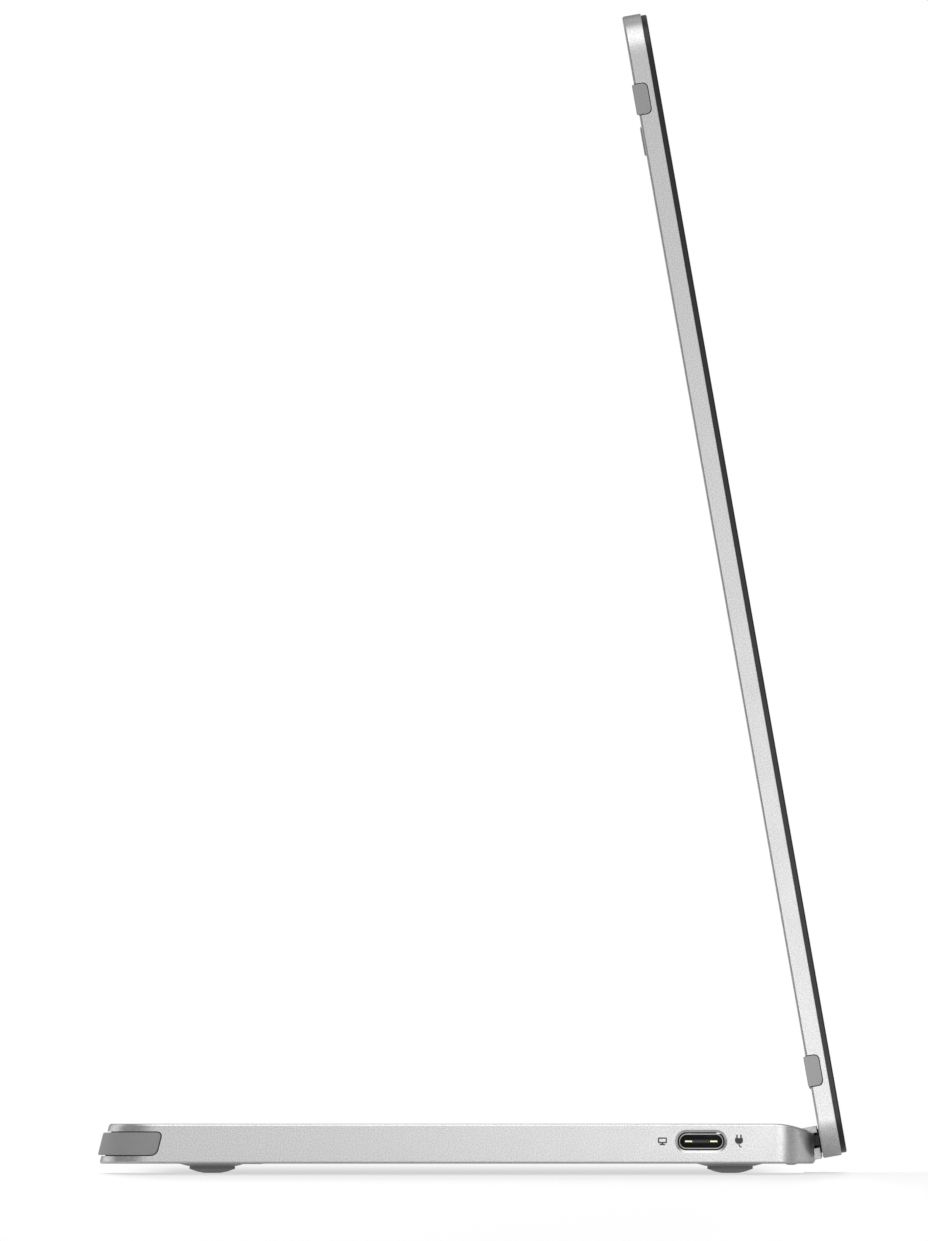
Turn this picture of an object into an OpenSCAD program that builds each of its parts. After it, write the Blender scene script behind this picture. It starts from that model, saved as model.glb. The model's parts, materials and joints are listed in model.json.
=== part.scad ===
// Thin portable monitor: a flat display hinged along its bottom edge to the front of a flat base.
// Millimetres. X runs to the user's right, Y away from the user and Z up. The origin lies under the
// middle of the whole monitor, on the surface that its feet stand on.

/* [Overall] */
// Width of the display and of the base
body_w = 356; // [330:1:440]
// Lean of the display back from vertical, as it stands
lean = 10; // [0:1:30]

/* [Base casing] */
// Length of the base from its front end to its rear bottom edge
base_l = 142.4; // [115:0.1:200]
// Thickness of the base
base_t = 7.95; // [7.9:0.05:10]
// Height of the base's underside above the floor
foot_drop = 1.85; // [1.2:0.05:4]
// Radius of the front corners, seen from above
front_r = 7.5; // [7:0.5:10]
// Radius of the rear corners, seen from above
rear_r = 9.5; // [6:0.5:16]
// Slope of the rear face
rear_slant = 14; // [0:1:20]
// Radius of the curve that takes the top down to the front end
front_arc_r = 16; // [14:0.5:20]
// Length of that curve along the base
front_arc_l = 7.9; // [7:0.1:9]
// Wall at the sides and the rear
side_wall = 1.5; // [1.3:0.1:2]
// Wall at the front of the two ears
front_wall = 1; // [0.8:0.1:1.2]
// Top wall
top_wall = 1.2; // [1:0.1:1.5]
// Wall outside the bottom plate
lip_wall = 0.9; // [0.7:0.1:1]
// Width of each ear beside the hinge cover
ear_w = 16; // [15.5:0.5:30]
// Wall round the well that the hinge cover turns in
well_wall = 1.2; // [1:0.1:2]

/* [Bottom plate and feet] */
// Thickness of the bottom plate
plate_t = 1; // [0.9:0.1:1.2]
// Gap round the bottom plate
plate_gap = 0.1; // [0.05:0.05:0.2]
// Radius of a rubber foot
foot_r = 4.55; // [3:0.05:7]
// Radius of the embossed seat where it meets the plate
seat_r = 6.6; // [6:0.1:9]
// Drop of the embossed seat under the plate
seat_drop = 0.45; // [0.3:0.05:0.8]
// Width of metal left round a foot at the seat's lower edge
seat_rim = 0.35; // [0.2:0.05:0.6]
// Height of a foot's domed end
foot_dome = 0.95; // [0.5:0.05:1]
// Distance of the front feet from the front end
front_foot_in = 16.8; // [14:0.1:30]
// Distance of the rear feet from the rear bottom edge
rear_foot_in = 22.3; // [14:0.1:40]
// Distance of the feet from the sides
foot_side_in = 22; // [12:0.5:60]
// Distance of the plate's outer screws from the sides
plate_screw_in = 10; // [8:0.5:11]
// Distance of the plate's inner screws from the middle
plate_screw_x = 60; // [50:1:66]
// Distance of the domed screws from the front end
dome_screw_in = 4.6; // [4.4:0.05:4.8]
// Distance of the domed screws from the sides
dome_screw_side = 3.6; // [3.5:0.05:3.7]

/* [Rear rubber strip] */
// Height of the strip
strip_h = 4.5; // [3:0.1:5]
// How far the strip stands out of the rear face
strip_proud = 0.75; // [0.3:0.05:1.2]
// How far rubber stands out of the sides, on base and display
side_proud = 0.5; // [0.2:0.05:0.8]
// Depth that the strip is let into the walls
strip_in = 0.7; // [0.4:0.05:0.9]
// Length of the strip round onto each side, from the rear face
strip_wrap = 10.7; // [10.2:0.1:20]
// Groove round the strip
groove_gap = 0.2; // [0.1:0.05:0.4]

/* [Sockets and buttons] */
// Distance of the socket's centre from the front end
port_in = 22.5; // [22:0.1:30]
// Height of the socket's centre above the middle of the base
port_rise = 0.47; // [0.3:0.01:0.6]
// Width of a USB-C receptacle
socket_w = 8.94; // [8.94:0.01:8.94]
// Height of a USB-C receptacle
socket_h = 3.16; // [3.16:0.01:3.16]
// Wall of the receptacle's shell
socket_wall = 0.3; // [0.3:0.05:0.3]
// Length of a receptacle
socket_l = 7.3; // [6.5:0.1:9]
// Distance of the receptacle's mouth behind the side face
socket_set = 0.3; // [0.1:0.05:0.6]
// Gap between a receptacle and the casing
socket_gap = 0.23; // [0.15:0.01:0.4]
// Width of the sunk rim round the gap
rim_w = 0.5; // [0.3:0.05:0.6]
// Depth of the sunk rim
rim_d = 0.35; // [0.2:0.05:0.6]
// Width of the tongue in a receptacle
tongue_w = 6.69; // [6.69:0.01:6.69]
// Thickness of the tongue
tongue_t = 0.7; // [0.7:0.01:0.7]
// Distance of the power light from the front end
light_in = 32; // [31:0.5:34]
// Distance of the power button from the front end
power_in = 40; // [38:0.5:42]
// Distance of the dimmer button from the front end
dimmer_in = 51; // [49:0.5:52]
// Distance of the brighter button from the front end
brighter_in = 60; // [58:0.5:61]
// Length of a button along the side
button_l = 6.5; // [5:0.1:7.5]
// Height of a button
button_h = 2.2; // [1.8:0.1:2.4]
// How far a button stands out
button_proud = 0.35; // [0.2:0.05:0.6]
// Travel of a button
button_travel = 0.4; // [0.2:0.05:0.4]
// Gap round a button
button_gap = 0.15; // [0.1:0.05:0.2]
// Radius of the power light's window
light_r = 0.6; // [0.4:0.05:1]

/* [Boards] */
// Thickness of the circuit boards
board_t = 1; // [0.8:0.1:1]
// Distance of the main board's inner end from the middle
main_board_in = 20.3; // [10:0.1:24]
// Length of the port board along the base
port_board_l = 63; // [50:1:70]
// Depth of both boards from front to rear
board_d = 50; // [48:1:54]
// Distance of the boards from the front end
board_in = 17.6; // [17.5:0.1:17.8]
// Gap between a board's end and the side wall
board_gap = 1.2; // [0.8:0.1:1.5]
// Thickness of the flat ribbon between the boards
ribbon_t = 0.3; // [0.2:0.05:0.4]
// Width of the ribbon
ribbon_w = 10; // [6:0.5:12]

/* [Hinge] */
// Distance of the hinge axis from the base's front end
axis_in = 3.3; // [3.2:0.05:3.5]
// Distance of the hinge axis from the display's bottom edge
axis_up = 3.72; // [3.5:0.01:3.8]
// Gap between the rubber pads and the base when folded flat
closed_gap = 0.1; // [0.05:0.05:0.3]
// Radius of the hinge cover's round back
barrel_r = 2.9; // [2.8:0.05:2.95]
// Wall of the hinge cover
cover_wall = 0.6; // [0.5:0.05:0.65]
// Gap between the hinge cover and the display
seam_gap = 0.24; // [0.1:0.02:0.3]
// Gap between the hinge cover and the base
hinge_gap = 0.4; // [0.3:0.05:0.5]
// Radius of the hinge shafts
shaft_r = 1.2; // [1:0.05:1.25]
// Running clearance of a shaft in its bracket
shaft_fit = 0.04; // [0.02:0.01:0.08]
// Radius of the bracket's barrel
bracket_r = 2; // [1.9:0.05:2.05]
// Length of the bracket's barrel
bracket_l = 6; // [4:0.5:6]
// Reach of the bracket's plate behind the well
bracket_reach = 30; // [24:1:40]
// Width of the bracket's plate
bracket_w = 8.1; // [7:0.1:8.2]
// Thickness of the bracket's plate
bracket_t = 1.4; // [1:0.1:1.6]
// Radius of a hinge arm's eye
arm_r = 2.1; // [1.9:0.05:2.15]
// Thickness of a hinge arm
arm_t = 2.2; // [1.6:0.1:2.4]
// Length of a hinge arm's eye
arm_l = 13; // [8:0.5:16]
// Length of the arm's foot on the display
arm_foot_l = 28; // [24:0.5:34]
// Thickness of the arm's foot
arm_foot_t = 0.8; // [0.6:0.05:0.9]
// Radius of the friction washers
washer_r = 1.9; // [1.6:0.05:1.95]
// Thickness of a friction washer
washer_t = 0.5; // [0.3:0.05:0.5]
// Length of a hinge nut
nut_l = 2; // [1.5:0.1:2]
// Radius of the display lead where it crosses the hinge
lead_r = 0.7; // [0.5:0.05:0.75]
// Distance of that crossing from the middle
lead_x = 66; // [60:1:68]

/* [Display casing] */
// Height of the display
disp_h = 230.9; // [200:0.1:270]
// Depth of the silver back cover
cover_t = 3.74; // [3.7:0.02:5]
// Depth of the black front frame
bezel_t = 1.13; // [1.1:0.01:1.4]
// Radius of the display's corners
disp_r = 8.5; // [7:0.5:14]
// Back wall of the back cover
back_wall = 0.9; // [0.8:0.05:0.95]
// Side wall of the back cover
edge_wall = 1.3; // [1.2:0.05:1.5]
// How far the front frame lies inside the back cover's outline
bezel_inset = 0.4; // [0.2:0.05:0.6]
// Width of the front frame round the glass
bezel_rim = 0.85; // [0.7:0.05:1]

/* [Edge pads] */
// Length of a pad along the edge
pad_l = 6.2; // [4:0.1:12]
// Width of a pad on the edge
pad_reach = 2.6; // [2:0.1:3.3]
// Width of a pad on the back
pad_back = 3.2; // [2:0.1:10]
// How far the pads stand out of the back
pad_proud = 0.45; // [0.2:0.05:0.6]
// Depth that the pads are let in
pad_in = 0.5; // [0.3:0.05:0.55]
// Distance of the lower pads' centres from the bottom edge
pad_low = 17.5; // [14:0.5:40]
// Distance of the upper pads' centres from the top edge
pad_high = 17; // [12:0.5:40]

/* [Panel] */
// Thickness of the cover glass
glass_t = 0.7; // [0.5:0.05:0.7]
// Thickness of the liquid crystal panel
panel_t = 0.95; // [0.6:0.05:0.95]
// Thickness of the optical sheets together
sheets_t = 0.35; // [0.2:0.05:0.35]
// Thickness of the light guide
guide_t = 0.6; // [0.4:0.05:0.6]
// Thickness of the reflector
reflector_t = 0.2; // [0.1:0.05:0.2]
// Thickness of the panel tray's sheet metal
tray_t = 0.3; // [0.2:0.05:0.3]
// Air between the layers
layer_gap = 0.02; // [0.01:0.01:0.03]
// Gap between the tray and the side walls
tray_gap = 2.1; // [2.1:0.1:3]
// Gap between the tray and the top wall
tray_top_gap = 2.4; // [2.4:0.1:4]
// Height of the driver space under the panel
driver_h = 8.3; // [8:0.1:12]
// Length of the driver board
driver_l = 196; // [150:1:200]
// Thickness of the driver board
driver_t = 0.8; // [0.6:0.05:1]

/* [Hidden] */
$fn = 96;

// How far a cutting shape runs past the face that it cuts
past = 0.5;
// Clearance of a pressed, screwed or glued pair
slip = 0.02;
// Clearance of a screw in a hole that it passes through
screw_clear = 0.1;

// Screws: shank radius, head radius and head height of the three sizes
small_screw = [0.8, 1.6, 0.55];
arm_screw = [0.8, 1.5, 0.6];
dome_screw = [0.65, 1.25, 0.3];
// Depth of a threaded hole, how far its screw reaches in, and the radii of the bosses
thread_l = 2.6;
screw_l = 2.4;
boss_r = 2.2;
dome_boss_r = 1.75;
// Wall left under a blind screw hole
skin = 0.35;

// Heights in the base
z_under = foot_drop;
z_top = z_under + base_t;
z_plate = z_under + plate_t;
axis_z = z_under + base_t / 2;
port_z = axis_z + port_rise;
board_top = port_z - socket_h / 2;
board_low = board_top - board_t;
strip_z0 = axis_z - strip_h / 2;
bracket_top = z_top - top_wall - 0.475;

// The display in its own frame: origin on the hinge axis, +Y to its back, +Z up its height
back_y = -(base_t / 2 + pad_proud + closed_gap);
seam_y = back_y - cover_t;
face_y = seam_y - bezel_t;
low_z = -axis_up;
high_z = low_z + disp_h;
inner_y = back_y - back_wall;

// Places along Y, from the reach of the two ends on either side of the hinge axis
front_reach = -face_y * cos(lean) + (axis_up - bezel_inset) * sin(lean);
rear_reach = base_l - axis_in - (strip_z0 - z_under) * tan(rear_slant) + strip_proud / cos(rear_slant);
axis_y = (front_reach - rear_reach) / 2;
front_y = axis_y - axis_in;
rear_y = front_y + base_l;
slab_past = 20;
slab_h = base_t + base_l * tan(rear_slant) + 2 * slab_past;

// Places along X
half_w = body_w / 2;
well_half = half_w - ear_w;
well_d = axis_in + barrel_r + hinge_gap;
cover_half = well_half - hinge_gap;
relief_r = bracket_r + 0.3;
relief_l = 10.5;
bracket_x0 = well_half + 0.2;
bracket_x1 = bracket_x0 + bracket_l;
bracket_y = front_y + well_d + well_wall + 0.4;
web_x0 = well_half + well_wall + 0.3;
arm_x1 = cover_half - 0.4;
arm_x0 = arm_x1 - arm_l;
end_wall = 1;
slot_gap = 0.4;

// Layers of the panel, from the glass to the tray
glass_front = face_y + 0.05;
glass_back = glass_front + glass_t;
panel_front = glass_back + layer_gap;
sheets_front = panel_front + panel_t + layer_gap;
guide_front = sheets_front + sheets_t + layer_gap;
reflector_front = guide_front + guide_t + layer_gap;
tray_front = reflector_front + reflector_t + layer_gap;
tray_half = half_w - edge_wall - tray_gap;
tray_low = low_z + edge_wall + driver_h;
tray_high = high_z - edge_wall - tray_top_gap;
guide_half = tray_half - tray_t - 0.4;
led_h = 1.5;
led_gap = 0.15;
led_low = tray_low + tray_t + led_gap;
guide_low = led_low + led_h + led_gap;
guide_high = tray_high - tray_t - 0.3;
panel_half = tray_half - 0.3;
panel_low = tray_low + 0.3;
panel_high = tray_high - 0.3;

// Screw places: distance from the middle and from the front end of the base
plate_points = [
    [half_w - plate_screw_in, base_l * 0.53], [half_w - plate_screw_in, base_l - 14.4],
    [plate_screw_x, 12], [plate_screw_x, base_l * 0.55], [plate_screw_x, base_l - 10.4]
];
dome_x = half_w - dome_screw_side;
dome_y = front_y + dome_screw_in;
board_end = half_w - side_wall - board_gap;
main_board_l = board_end - main_board_in;
main_points = [
    [-board_end + 8, board_in + 40], [-board_end + main_board_l / 2, board_in + 45.5],
    [-board_end + main_board_l - 5, board_in + 45], [-board_end + main_board_l - 5, board_in + 5],
    [-board_end + 30, board_in + 5]
];
port_points = [
    [board_end - port_board_l + 5, board_in + 45], [board_end - port_board_l + 5, board_in + 5],
    [board_end - 22, board_in + 5], [board_end - 22, board_in + 45]
];
bracket_points = [well_half + 3.9, well_half - 10, well_half - 25];
bracket_hole_y = bracket_y + bracket_w / 2;
arm_points = [arm_x0 - 4.5, arm_x0 - 11.5];
cover_points = [well_half - 56, well_half - 42];
rib_points = [-80, -20, 20, 80];
button_places = [power_in, dimmer_in, brighter_in];
flex_places = [-78, -26, 26, 78];

// ---- shared shapes

// Rectangle with round corners, centred in X
module round_rect(w, y0, y1, r) {
    translate([-w / 2 + r, y0]) square([w - 2 * r, y1 - y0]);
    translate([-w / 2, y0 + r]) square([w, y1 - y0 - 2 * r]);
    for (x = [-w / 2 + r, w / 2 - r], y = [y0 + r, y1 - r])
        translate([x, y]) circle(r = r);
}

// Slot shape with round ends, w overall by h
module stadium(w, h) {
    square([w - h, h], center = true);
    for (x = [-(w - h) / 2, (w - h) / 2])
        translate([x, 0]) circle(r = h / 2);
}

// An outline in Y and Z, drawn out along X
module along_x(x0, x1) translate([x0, 0, 0]) rotate([90, 0, 90]) linear_extrude(x1 - x0) children();

// An outline in X and Z, drawn out along Y
module along_y(y0, y1) translate([0, y1, 0]) rotate([90, 0, 0]) linear_extrude(y1 - y0) children();

module rod_x(x0, x1, r) translate([x0, 0, 0]) rotate([0, 90, 0]) cylinder(h = x1 - x0, r = r);

module rod_y(y0, y1, r) translate([0, y0, 0]) rotate([-90, 0, 0]) cylinder(h = y1 - y0, r = r);

// Block between two corners
module block(low, high) translate(low) cube(high - low);

module both_sides() {
    children();
    mirror([1, 0, 0]) children();
}

module at_axis() translate([0, axis_y, axis_z]) children();

module on_display() at_axis() rotate([-lean, 0, 0]) children();

// ---- base casing

module rear_frame() translate([0, rear_y, z_under]) rotate([rear_slant, 0, 0]) children();

// Slab with the slanted rear face and its round corners, set in from the base's faces
module rear_slab(side, rear, r)
    rear_frame() translate([0, 0, -slab_past]) linear_extrude(slab_h)
        round_rect(body_w - 2 * side, -2 * base_l, -rear, r);

// The base's outline, set in at the sides, front and top, between two heights
module base_block(side, front, top, z0, z1)
    intersection() {
        translate([0, 0, z0]) linear_extrude(z1 - z0)
            round_rect(body_w - 2 * side, front_y + front, rear_y + base_l, front_r - side);
        rear_slab(side, side, rear_r - side);
        along_x(-body_w, body_w) difference() {
            translate([front_y - slab_past, z_under - slab_past])
                square([base_l + 2 * slab_past, base_t + slab_past - top]);
            difference() {
                translate([front_y - slab_past, z_top - front_arc_r])
                    square([front_arc_l + slab_past, front_arc_r + slab_past]);
                translate([front_y + front_arc_l, z_top - front_arc_r]) circle(r = front_arc_r - top);
            }
        }
    }

// Space of the hinge well, grown by its wall
module hinge_well(grow)
    block([-well_half - grow, front_y - past, z_under - past],
        [well_half + grow, front_y + well_d + grow, z_top + past]);

module shell_bosses() {
    both_sides() {
        for (p = plate_points)
            translate([p.x, front_y + p.y, z_plate]) cylinder(h = base_t, r = boss_r);
        translate([dome_x, dome_y, z_plate]) cylinder(h = base_t, r = dome_boss_r);
        block([well_half - bracket_reach, bracket_y, bracket_top],
            [bracket_x1, bracket_y + bracket_w, z_top]);
    }
    for (p = concat(main_points, port_points))
        translate([p.x, front_y + p.y, board_top]) cylinder(h = base_t, r = boss_r);
}

// Threaded hole that opens downwards at height z
module thread_hole(x, y, z, l, size)
    translate([x, y, z - past]) cylinder(h = l + past, r = size[0] + slip);

module shell_holes() {
    both_sides() {
        for (p = plate_points)
            thread_hole(p.x, front_y + p.y, z_plate, thread_l, small_screw);
        thread_hole(dome_x, dome_y, z_plate, thread_l, dome_screw);
        for (x = bracket_points)
            thread_hole(x, bracket_hole_y, bracket_top, z_top - skin - bracket_top, small_screw);
    }
    for (p = concat(main_points, port_points))
        thread_hole(p.x, front_y + p.y, board_top, thread_l, small_screw);
}

module port_cut(grow_w, depth)
    along_x(half_w - depth, half_w + past) translate([front_y + port_in, port_z])
        stadium(socket_w + 2 * (socket_gap + grow_w), socket_h + 2 * (socket_gap + grow_w));

module button_outline(at, grow)
    translate([front_y + at, port_z]) stadium(button_l + 2 * grow, button_h + 2 * grow);

// The part of space that the rear strip lies in, with a gap all round
module strip_band(gap)
    intersection() {
        block([-body_w, rear_y - base_l / 2, strip_z0 - gap],
            [body_w, rear_y + slab_past, strip_z0 + strip_h + gap]);
        rear_frame() block([-body_w, -strip_wrap - gap, -slab_past], [body_w, slab_past, slab_past]);
    }

module strip_groove()
    difference() {
        intersection() {
            strip_band(groove_gap);
            rear_slab(-2, -2, rear_r + 2);
        }
        rear_slab(strip_in + slip, strip_in + slip, rear_r - strip_in - slip);
    }

module base_shell() color("silver")
    difference() {
        base_block(0, 0, 0, z_under, z_top);
        difference() {
            union() {
                base_block(side_wall, front_wall, top_wall, z_under - past, z_top);
                base_block(lip_wall, lip_wall, top_wall, z_under - past, z_plate);
            }
            hinge_well(well_wall);
            shell_bosses();
        }
        hinge_well(0);
        // Space for the bracket's barrel, the washers and the nut, open downwards at the well's wall
        both_sides() {
            at_axis() rod_x(well_half - past, well_half + relief_l, relief_r);
            block([well_half - past, axis_y - relief_r, z_under - past],
                [well_half + well_wall + past, axis_y + relief_r, axis_z]);
        }
        shell_holes();
        both_sides() {
            port_cut(0, side_wall + past);
            port_cut(rim_w, rim_d);
        }
        for (at = button_places)
            along_x(half_w - side_wall - past, half_w + past) button_outline(at, button_gap);
        translate([0, front_y + light_in, port_z])
            rod_x(half_w - side_wall - past, half_w + past, light_r + slip);
        // Slot for the display lead through the wall of the well
        block([-lead_x - lead_r - 0.3, front_y + well_d - past, axis_z - 2.9],
            [-lead_x + lead_r + 0.3, front_y + well_d + well_wall + past, axis_z - 0.6]);
        strip_groove();
    }

// ---- bottom plate, feet and strip

module at_feet()
    both_sides()
        for (y = [front_y + front_foot_in, rear_y - rear_foot_in])
            translate([half_w - foot_side_in, y, 0]) children();

// Depths that a foot and a domed screw's head are let into the plate
foot_seat = 0.4;
dome_seat = 0.4;
foot_low = z_under - seat_drop;
// Height of the dome's end that is cut flat
dome_cut = 0.12;
dome_ball = (foot_r * foot_r + foot_dome * foot_dome) / (2 * foot_dome);

// Hole through the plate with a seat for the screw's head
module counterbore(x, y, size, depth)
    translate([x, y, z_under - past]) {
        cylinder(h = plate_t + 2 * past, r = size[0] + screw_clear);
        cylinder(h = depth + past, r = size[1] + screw_clear);
    }

module bottom_plate() color("lightgray")
    difference() {
        union() {
            base_block(lip_wall + plate_gap, lip_wall + plate_gap, top_wall, z_under, z_plate - slip);
            at_feet() translate([0, 0, foot_low])
                cylinder(h = seat_drop, r1 = foot_r + seat_rim, r2 = seat_r);
        }
        hinge_well(well_wall + plate_gap);
        at_feet() translate([0, 0, foot_low - past])
            cylinder(h = past + foot_seat + seat_drop, r = foot_r + slip);
        both_sides() {
            for (p = plate_points)
                counterbore(p.x, front_y + p.y, small_screw, small_screw[2]);
            counterbore(dome_x, dome_y, dome_screw, dome_seat);
        }
    }

module rubber_feet() color("dimgray")
    at_feet() intersection() {
        cylinder(h = z_under + foot_seat - slip, r = foot_r);
        union() {
            translate([0, 0, foot_dome - dome_cut]) cylinder(h = base_t, r = foot_r + past);
            translate([0, 0, dome_ball - dome_cut]) sphere(r = dome_ball);
        }
    }

// Screw with its head below and its shank upwards from the origin
module screw(size, shank_l) {
    cylinder(h = shank_l, r = size[0]);
    translate([0, 0, -size[2]]) cylinder(h = size[2], r = size[1]);
}

module plate_screws() color("gray")
    both_sides()
        for (p = plate_points)
            translate([p.x, front_y + p.y, z_under + small_screw[2]])
                screw(small_screw, plate_t - small_screw[2] + screw_l);

dome_screw_ball = (pow(dome_screw[1], 2) + pow(dome_screw[2], 2)) / (2 * dome_screw[2]);

module domed_screws() color("gray")
    both_sides()
        translate([dome_x, dome_y, z_under]) {
            cylinder(h = plate_t + screw_l, r = dome_screw[0]);
            cylinder(h = dome_seat - slip, r = dome_screw[1]);
            intersection() {
                translate([0, 0, -dome_screw[2]]) cylinder(h = dome_screw[2], r = dome_screw[1]);
                translate([0, 0, dome_screw_ball - dome_screw[2]]) sphere(r = dome_screw_ball);
            }
        }

module rear_rubber_strip() color("gray")
    difference() {
        intersection() {
            strip_band(0);
            rear_slab(-side_proud, -strip_proud, rear_r + side_proud);
        }
        rear_slab(strip_in, strip_in, rear_r - strip_in);
    }

// ---- hinge, on the base

module hinge_bracket()
    difference() {
        union() {
            at_axis() rod_x(bracket_x0, bracket_x1, bracket_r);
            block([web_x0, axis_y, axis_z - 1.2], [bracket_x1, bracket_y + 2, axis_z + 1.9]);
            block([well_half - bracket_reach, bracket_y, bracket_top - bracket_t],
                [bracket_x1, bracket_y + bracket_w, bracket_top]);
        }
        at_axis() rod_x(bracket_x0 - past, bracket_x1 + past, shaft_r + shaft_fit);
        for (x = bracket_points)
            translate([x, bracket_hole_y, axis_z - base_t / 2])
                cylinder(h = base_t, r = small_screw[0] + screw_clear);
    }

module hinge_bracket_right() color("slategray") hinge_bracket();

module hinge_bracket_left() color("slategray") mirror([1, 0, 0]) hinge_bracket();

module bracket_screws() color("gray")
    both_sides()
        for (x = bracket_points)
            translate([x, bracket_hole_y, bracket_top - bracket_t])
                screw(small_screw, z_top - skin - 0.1 - bracket_top + bracket_t);

// ---- boards

module board(x0, x1, points)
    difference() {
        block([x0, front_y + board_in, board_low], [x1, front_y + board_in + board_d, board_top - slip]);
        for (p = points)
            translate([p.x, front_y + p.y, board_low - past])
                cylinder(h = board_t + 2 * past, r = small_screw[0] + screw_clear);
    }

main_x1 = -board_end + main_board_l;
port_x0 = board_end - port_board_l;

module main_board() color("darkgreen") board(-board_end, main_x1, main_points);

module port_board() color("darkgreen") board(port_x0, board_end, port_points);

// Box on a board: centre in X, distance of its centre from the front end, and its size
module on_board(x, at, size)
    translate([x - size.x / 2, front_y + at - size.y / 2, board_top]) cube(size);

module board_chips() color("black") {
    on_board(main_x1 - 55, 42, [17, 17, 1.2]);
    on_board(main_x1 - 36, 38, [8, 10, 1]);
    on_board(-board_end + 20, 44, [5, 5, 0.9]);
    on_board(-board_end + 32, 48, [6.5, 6.5, 2.8]);
    on_board(-board_end + 20, 56, [6.5, 6.5, 2.8]);
    on_board(-board_end + 33, 58, [4, 6, 1.1]);
    on_board(board_end - 36, 34, [6, 6, 0.9]);
    on_board(board_end - 36, 46, [6.5, 6.5, 2.8]);
}

can_x = -board_end + 56;
can_size = [30, 26, 2.2];
can_wall = 0.25;

module shield_can() color("silver")
    difference() {
        on_board(can_x, 44, can_size);
        on_board(can_x, 44, can_size - [2 * can_wall, 2 * can_wall, can_wall]);
    }

lead_plug = [14, 5, 1.6];
lead_plug_at = board_in + lead_plug.y / 2 + 0.6;
ribbon_at = board_in + 22;
ribbon_plug = [4, ribbon_w + 3, 1.4];

module lead_connector() color("ivory") on_board(-lead_x, lead_plug_at, lead_plug);

module ribbon_connectors() color("ivory") {
    on_board(main_x1 - ribbon_plug.x / 2 - 0.5, ribbon_at, ribbon_plug);
    on_board(port_x0 + ribbon_plug.x / 2 + 0.5, ribbon_at, ribbon_plug);
}

module board_ribbon() color("whitesmoke")
    block([main_x1 - 0.5, front_y + ribbon_at - ribbon_w / 2, board_top + 0.5],
        [port_x0 + 0.5, front_y + ribbon_at + ribbon_w / 2, board_top + 0.5 + ribbon_t]);

module board_screws() color("gray")
    for (p = concat(main_points, port_points))
        translate([p.x, front_y + p.y, board_low]) screw(small_screw, board_t + screw_l);

// ---- display lead, its two halves meeting on the hinge axis

lead_slope = 26;
lead_run = 4.6;
lead_end = [cos(lead_slope), -sin(lead_slope)] * lead_run;

lead_turn = [well_d + well_wall + 2, lead_end.y];
lead_rise = [board_in - axis_in - 0.6, board_top + 0.8 - axis_z];
lead_stop = [board_in - axis_in + 0.6, lead_rise.y];
lead_path = [[0, 0], lead_end, lead_turn, lead_rise, lead_stop];
lead_half_t = 0.6;

// Unit vector square to the path's stretch that starts at point i
function square_to(i) =
    let (d = lead_path[i + 1] - lead_path[i]) [-d.y, d.x] / norm(d);

// The path's point i moved sideways by h, mitred where two stretches meet
function beside(i, h) =
    let (last = len(lead_path) - 1, a = square_to(max(i - 1, 0)), b = square_to(min(i, last - 1)))
    lead_path[i] + h * (a + b) / (1 + a * b);

module base_lead() color("dimgray")
    at_axis() {
        rod_x(-lead_x - lead_r, -lead_x + 3, lead_r);
        along_x(-lead_x - lead_r, -lead_x + lead_r)
            polygon(concat(
                [for (i = [0:4]) beside(i, lead_half_t)],
                [for (i = [4:-1:0]) beside(i, -lead_half_t)]
            ));
    }

lead_bend = -lead_x + 22;

module display_lead() color("dimgray")
    on_display() {
        rod_x(-lead_x + 3.1, lead_bend, lead_r);
        translate([lead_bend, 0, 0]) {
            sphere(r = lead_r);
            rod_y(inner_y - 0.02, 0, lead_r);
        }
    }

// ---- switches, light pipe and buttons, all on the right-hand side

switch_size = [3, 3.5, 2.6];
switch_x = board_end - 1.3 - switch_size.x / 2;
plunger_l = 0.4;
flange_t = 1;
flange_gap = 0.1;
flange_x1 = half_w - side_wall - flange_gap;
flange_x0 = flange_x1 - flange_t;
stem_end = switch_x + switch_size.x / 2 + plunger_l + button_travel + 0.1;

module tact_switches() color("dimgray")
    for (at = button_places) {
        on_board(switch_x, at, switch_size);
        translate([0, front_y + at, port_z])
            rod_x(switch_x, switch_x + switch_size.x / 2 + plunger_l, 0.7);
    }

module power_light_pipe() color("white") {
    translate([0, front_y + light_in, port_z]) rod_x(switch_x, half_w - 0.05, light_r);
    on_board(switch_x, light_in, [2.5, 2, port_z + light_r - board_top]);
}

module button(at) {
    along_x(flange_x1 - slip, half_w + button_proud) button_outline(at, 0);
    translate([0, front_y + at, port_z]) {
        block([flange_x0, -button_l / 2 - 0.5, -button_h / 2 - 0.3],
            [flange_x1, button_l / 2 + 0.5, button_h / 2 + 0.3]);
        rod_x(stem_end, flange_x0 + slip, 0.7);
    }
}

module power_button() color("lightgray") button(power_in);

module dimmer_button() color("lightgray") button(dimmer_in);

module brighter_button() color("lightgray") button(brighter_in);

// ---- sockets

module usb_c_socket()
    translate([0, front_y + port_in, port_z])
        difference() {
            along_x(half_w - socket_set - socket_l, half_w - socket_set) stadium(socket_w, socket_h);
            along_x(half_w - socket_set - socket_l + socket_wall, half_w)
                stadium(socket_w - 2 * socket_wall, socket_h - 2 * socket_wall);
        }

module usb_c_tongue()
    translate([half_w - socket_set - socket_l + socket_wall, front_y + port_in, port_z]) {
        along_x(0, 2) stadium(socket_w - 2 * socket_wall - 2 * slip, socket_h - 2 * socket_wall - 2 * slip);
        block([1.5, -tongue_w / 2, -tongue_t / 2], [5.9, tongue_w / 2, tongue_t / 2]);
    }

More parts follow.
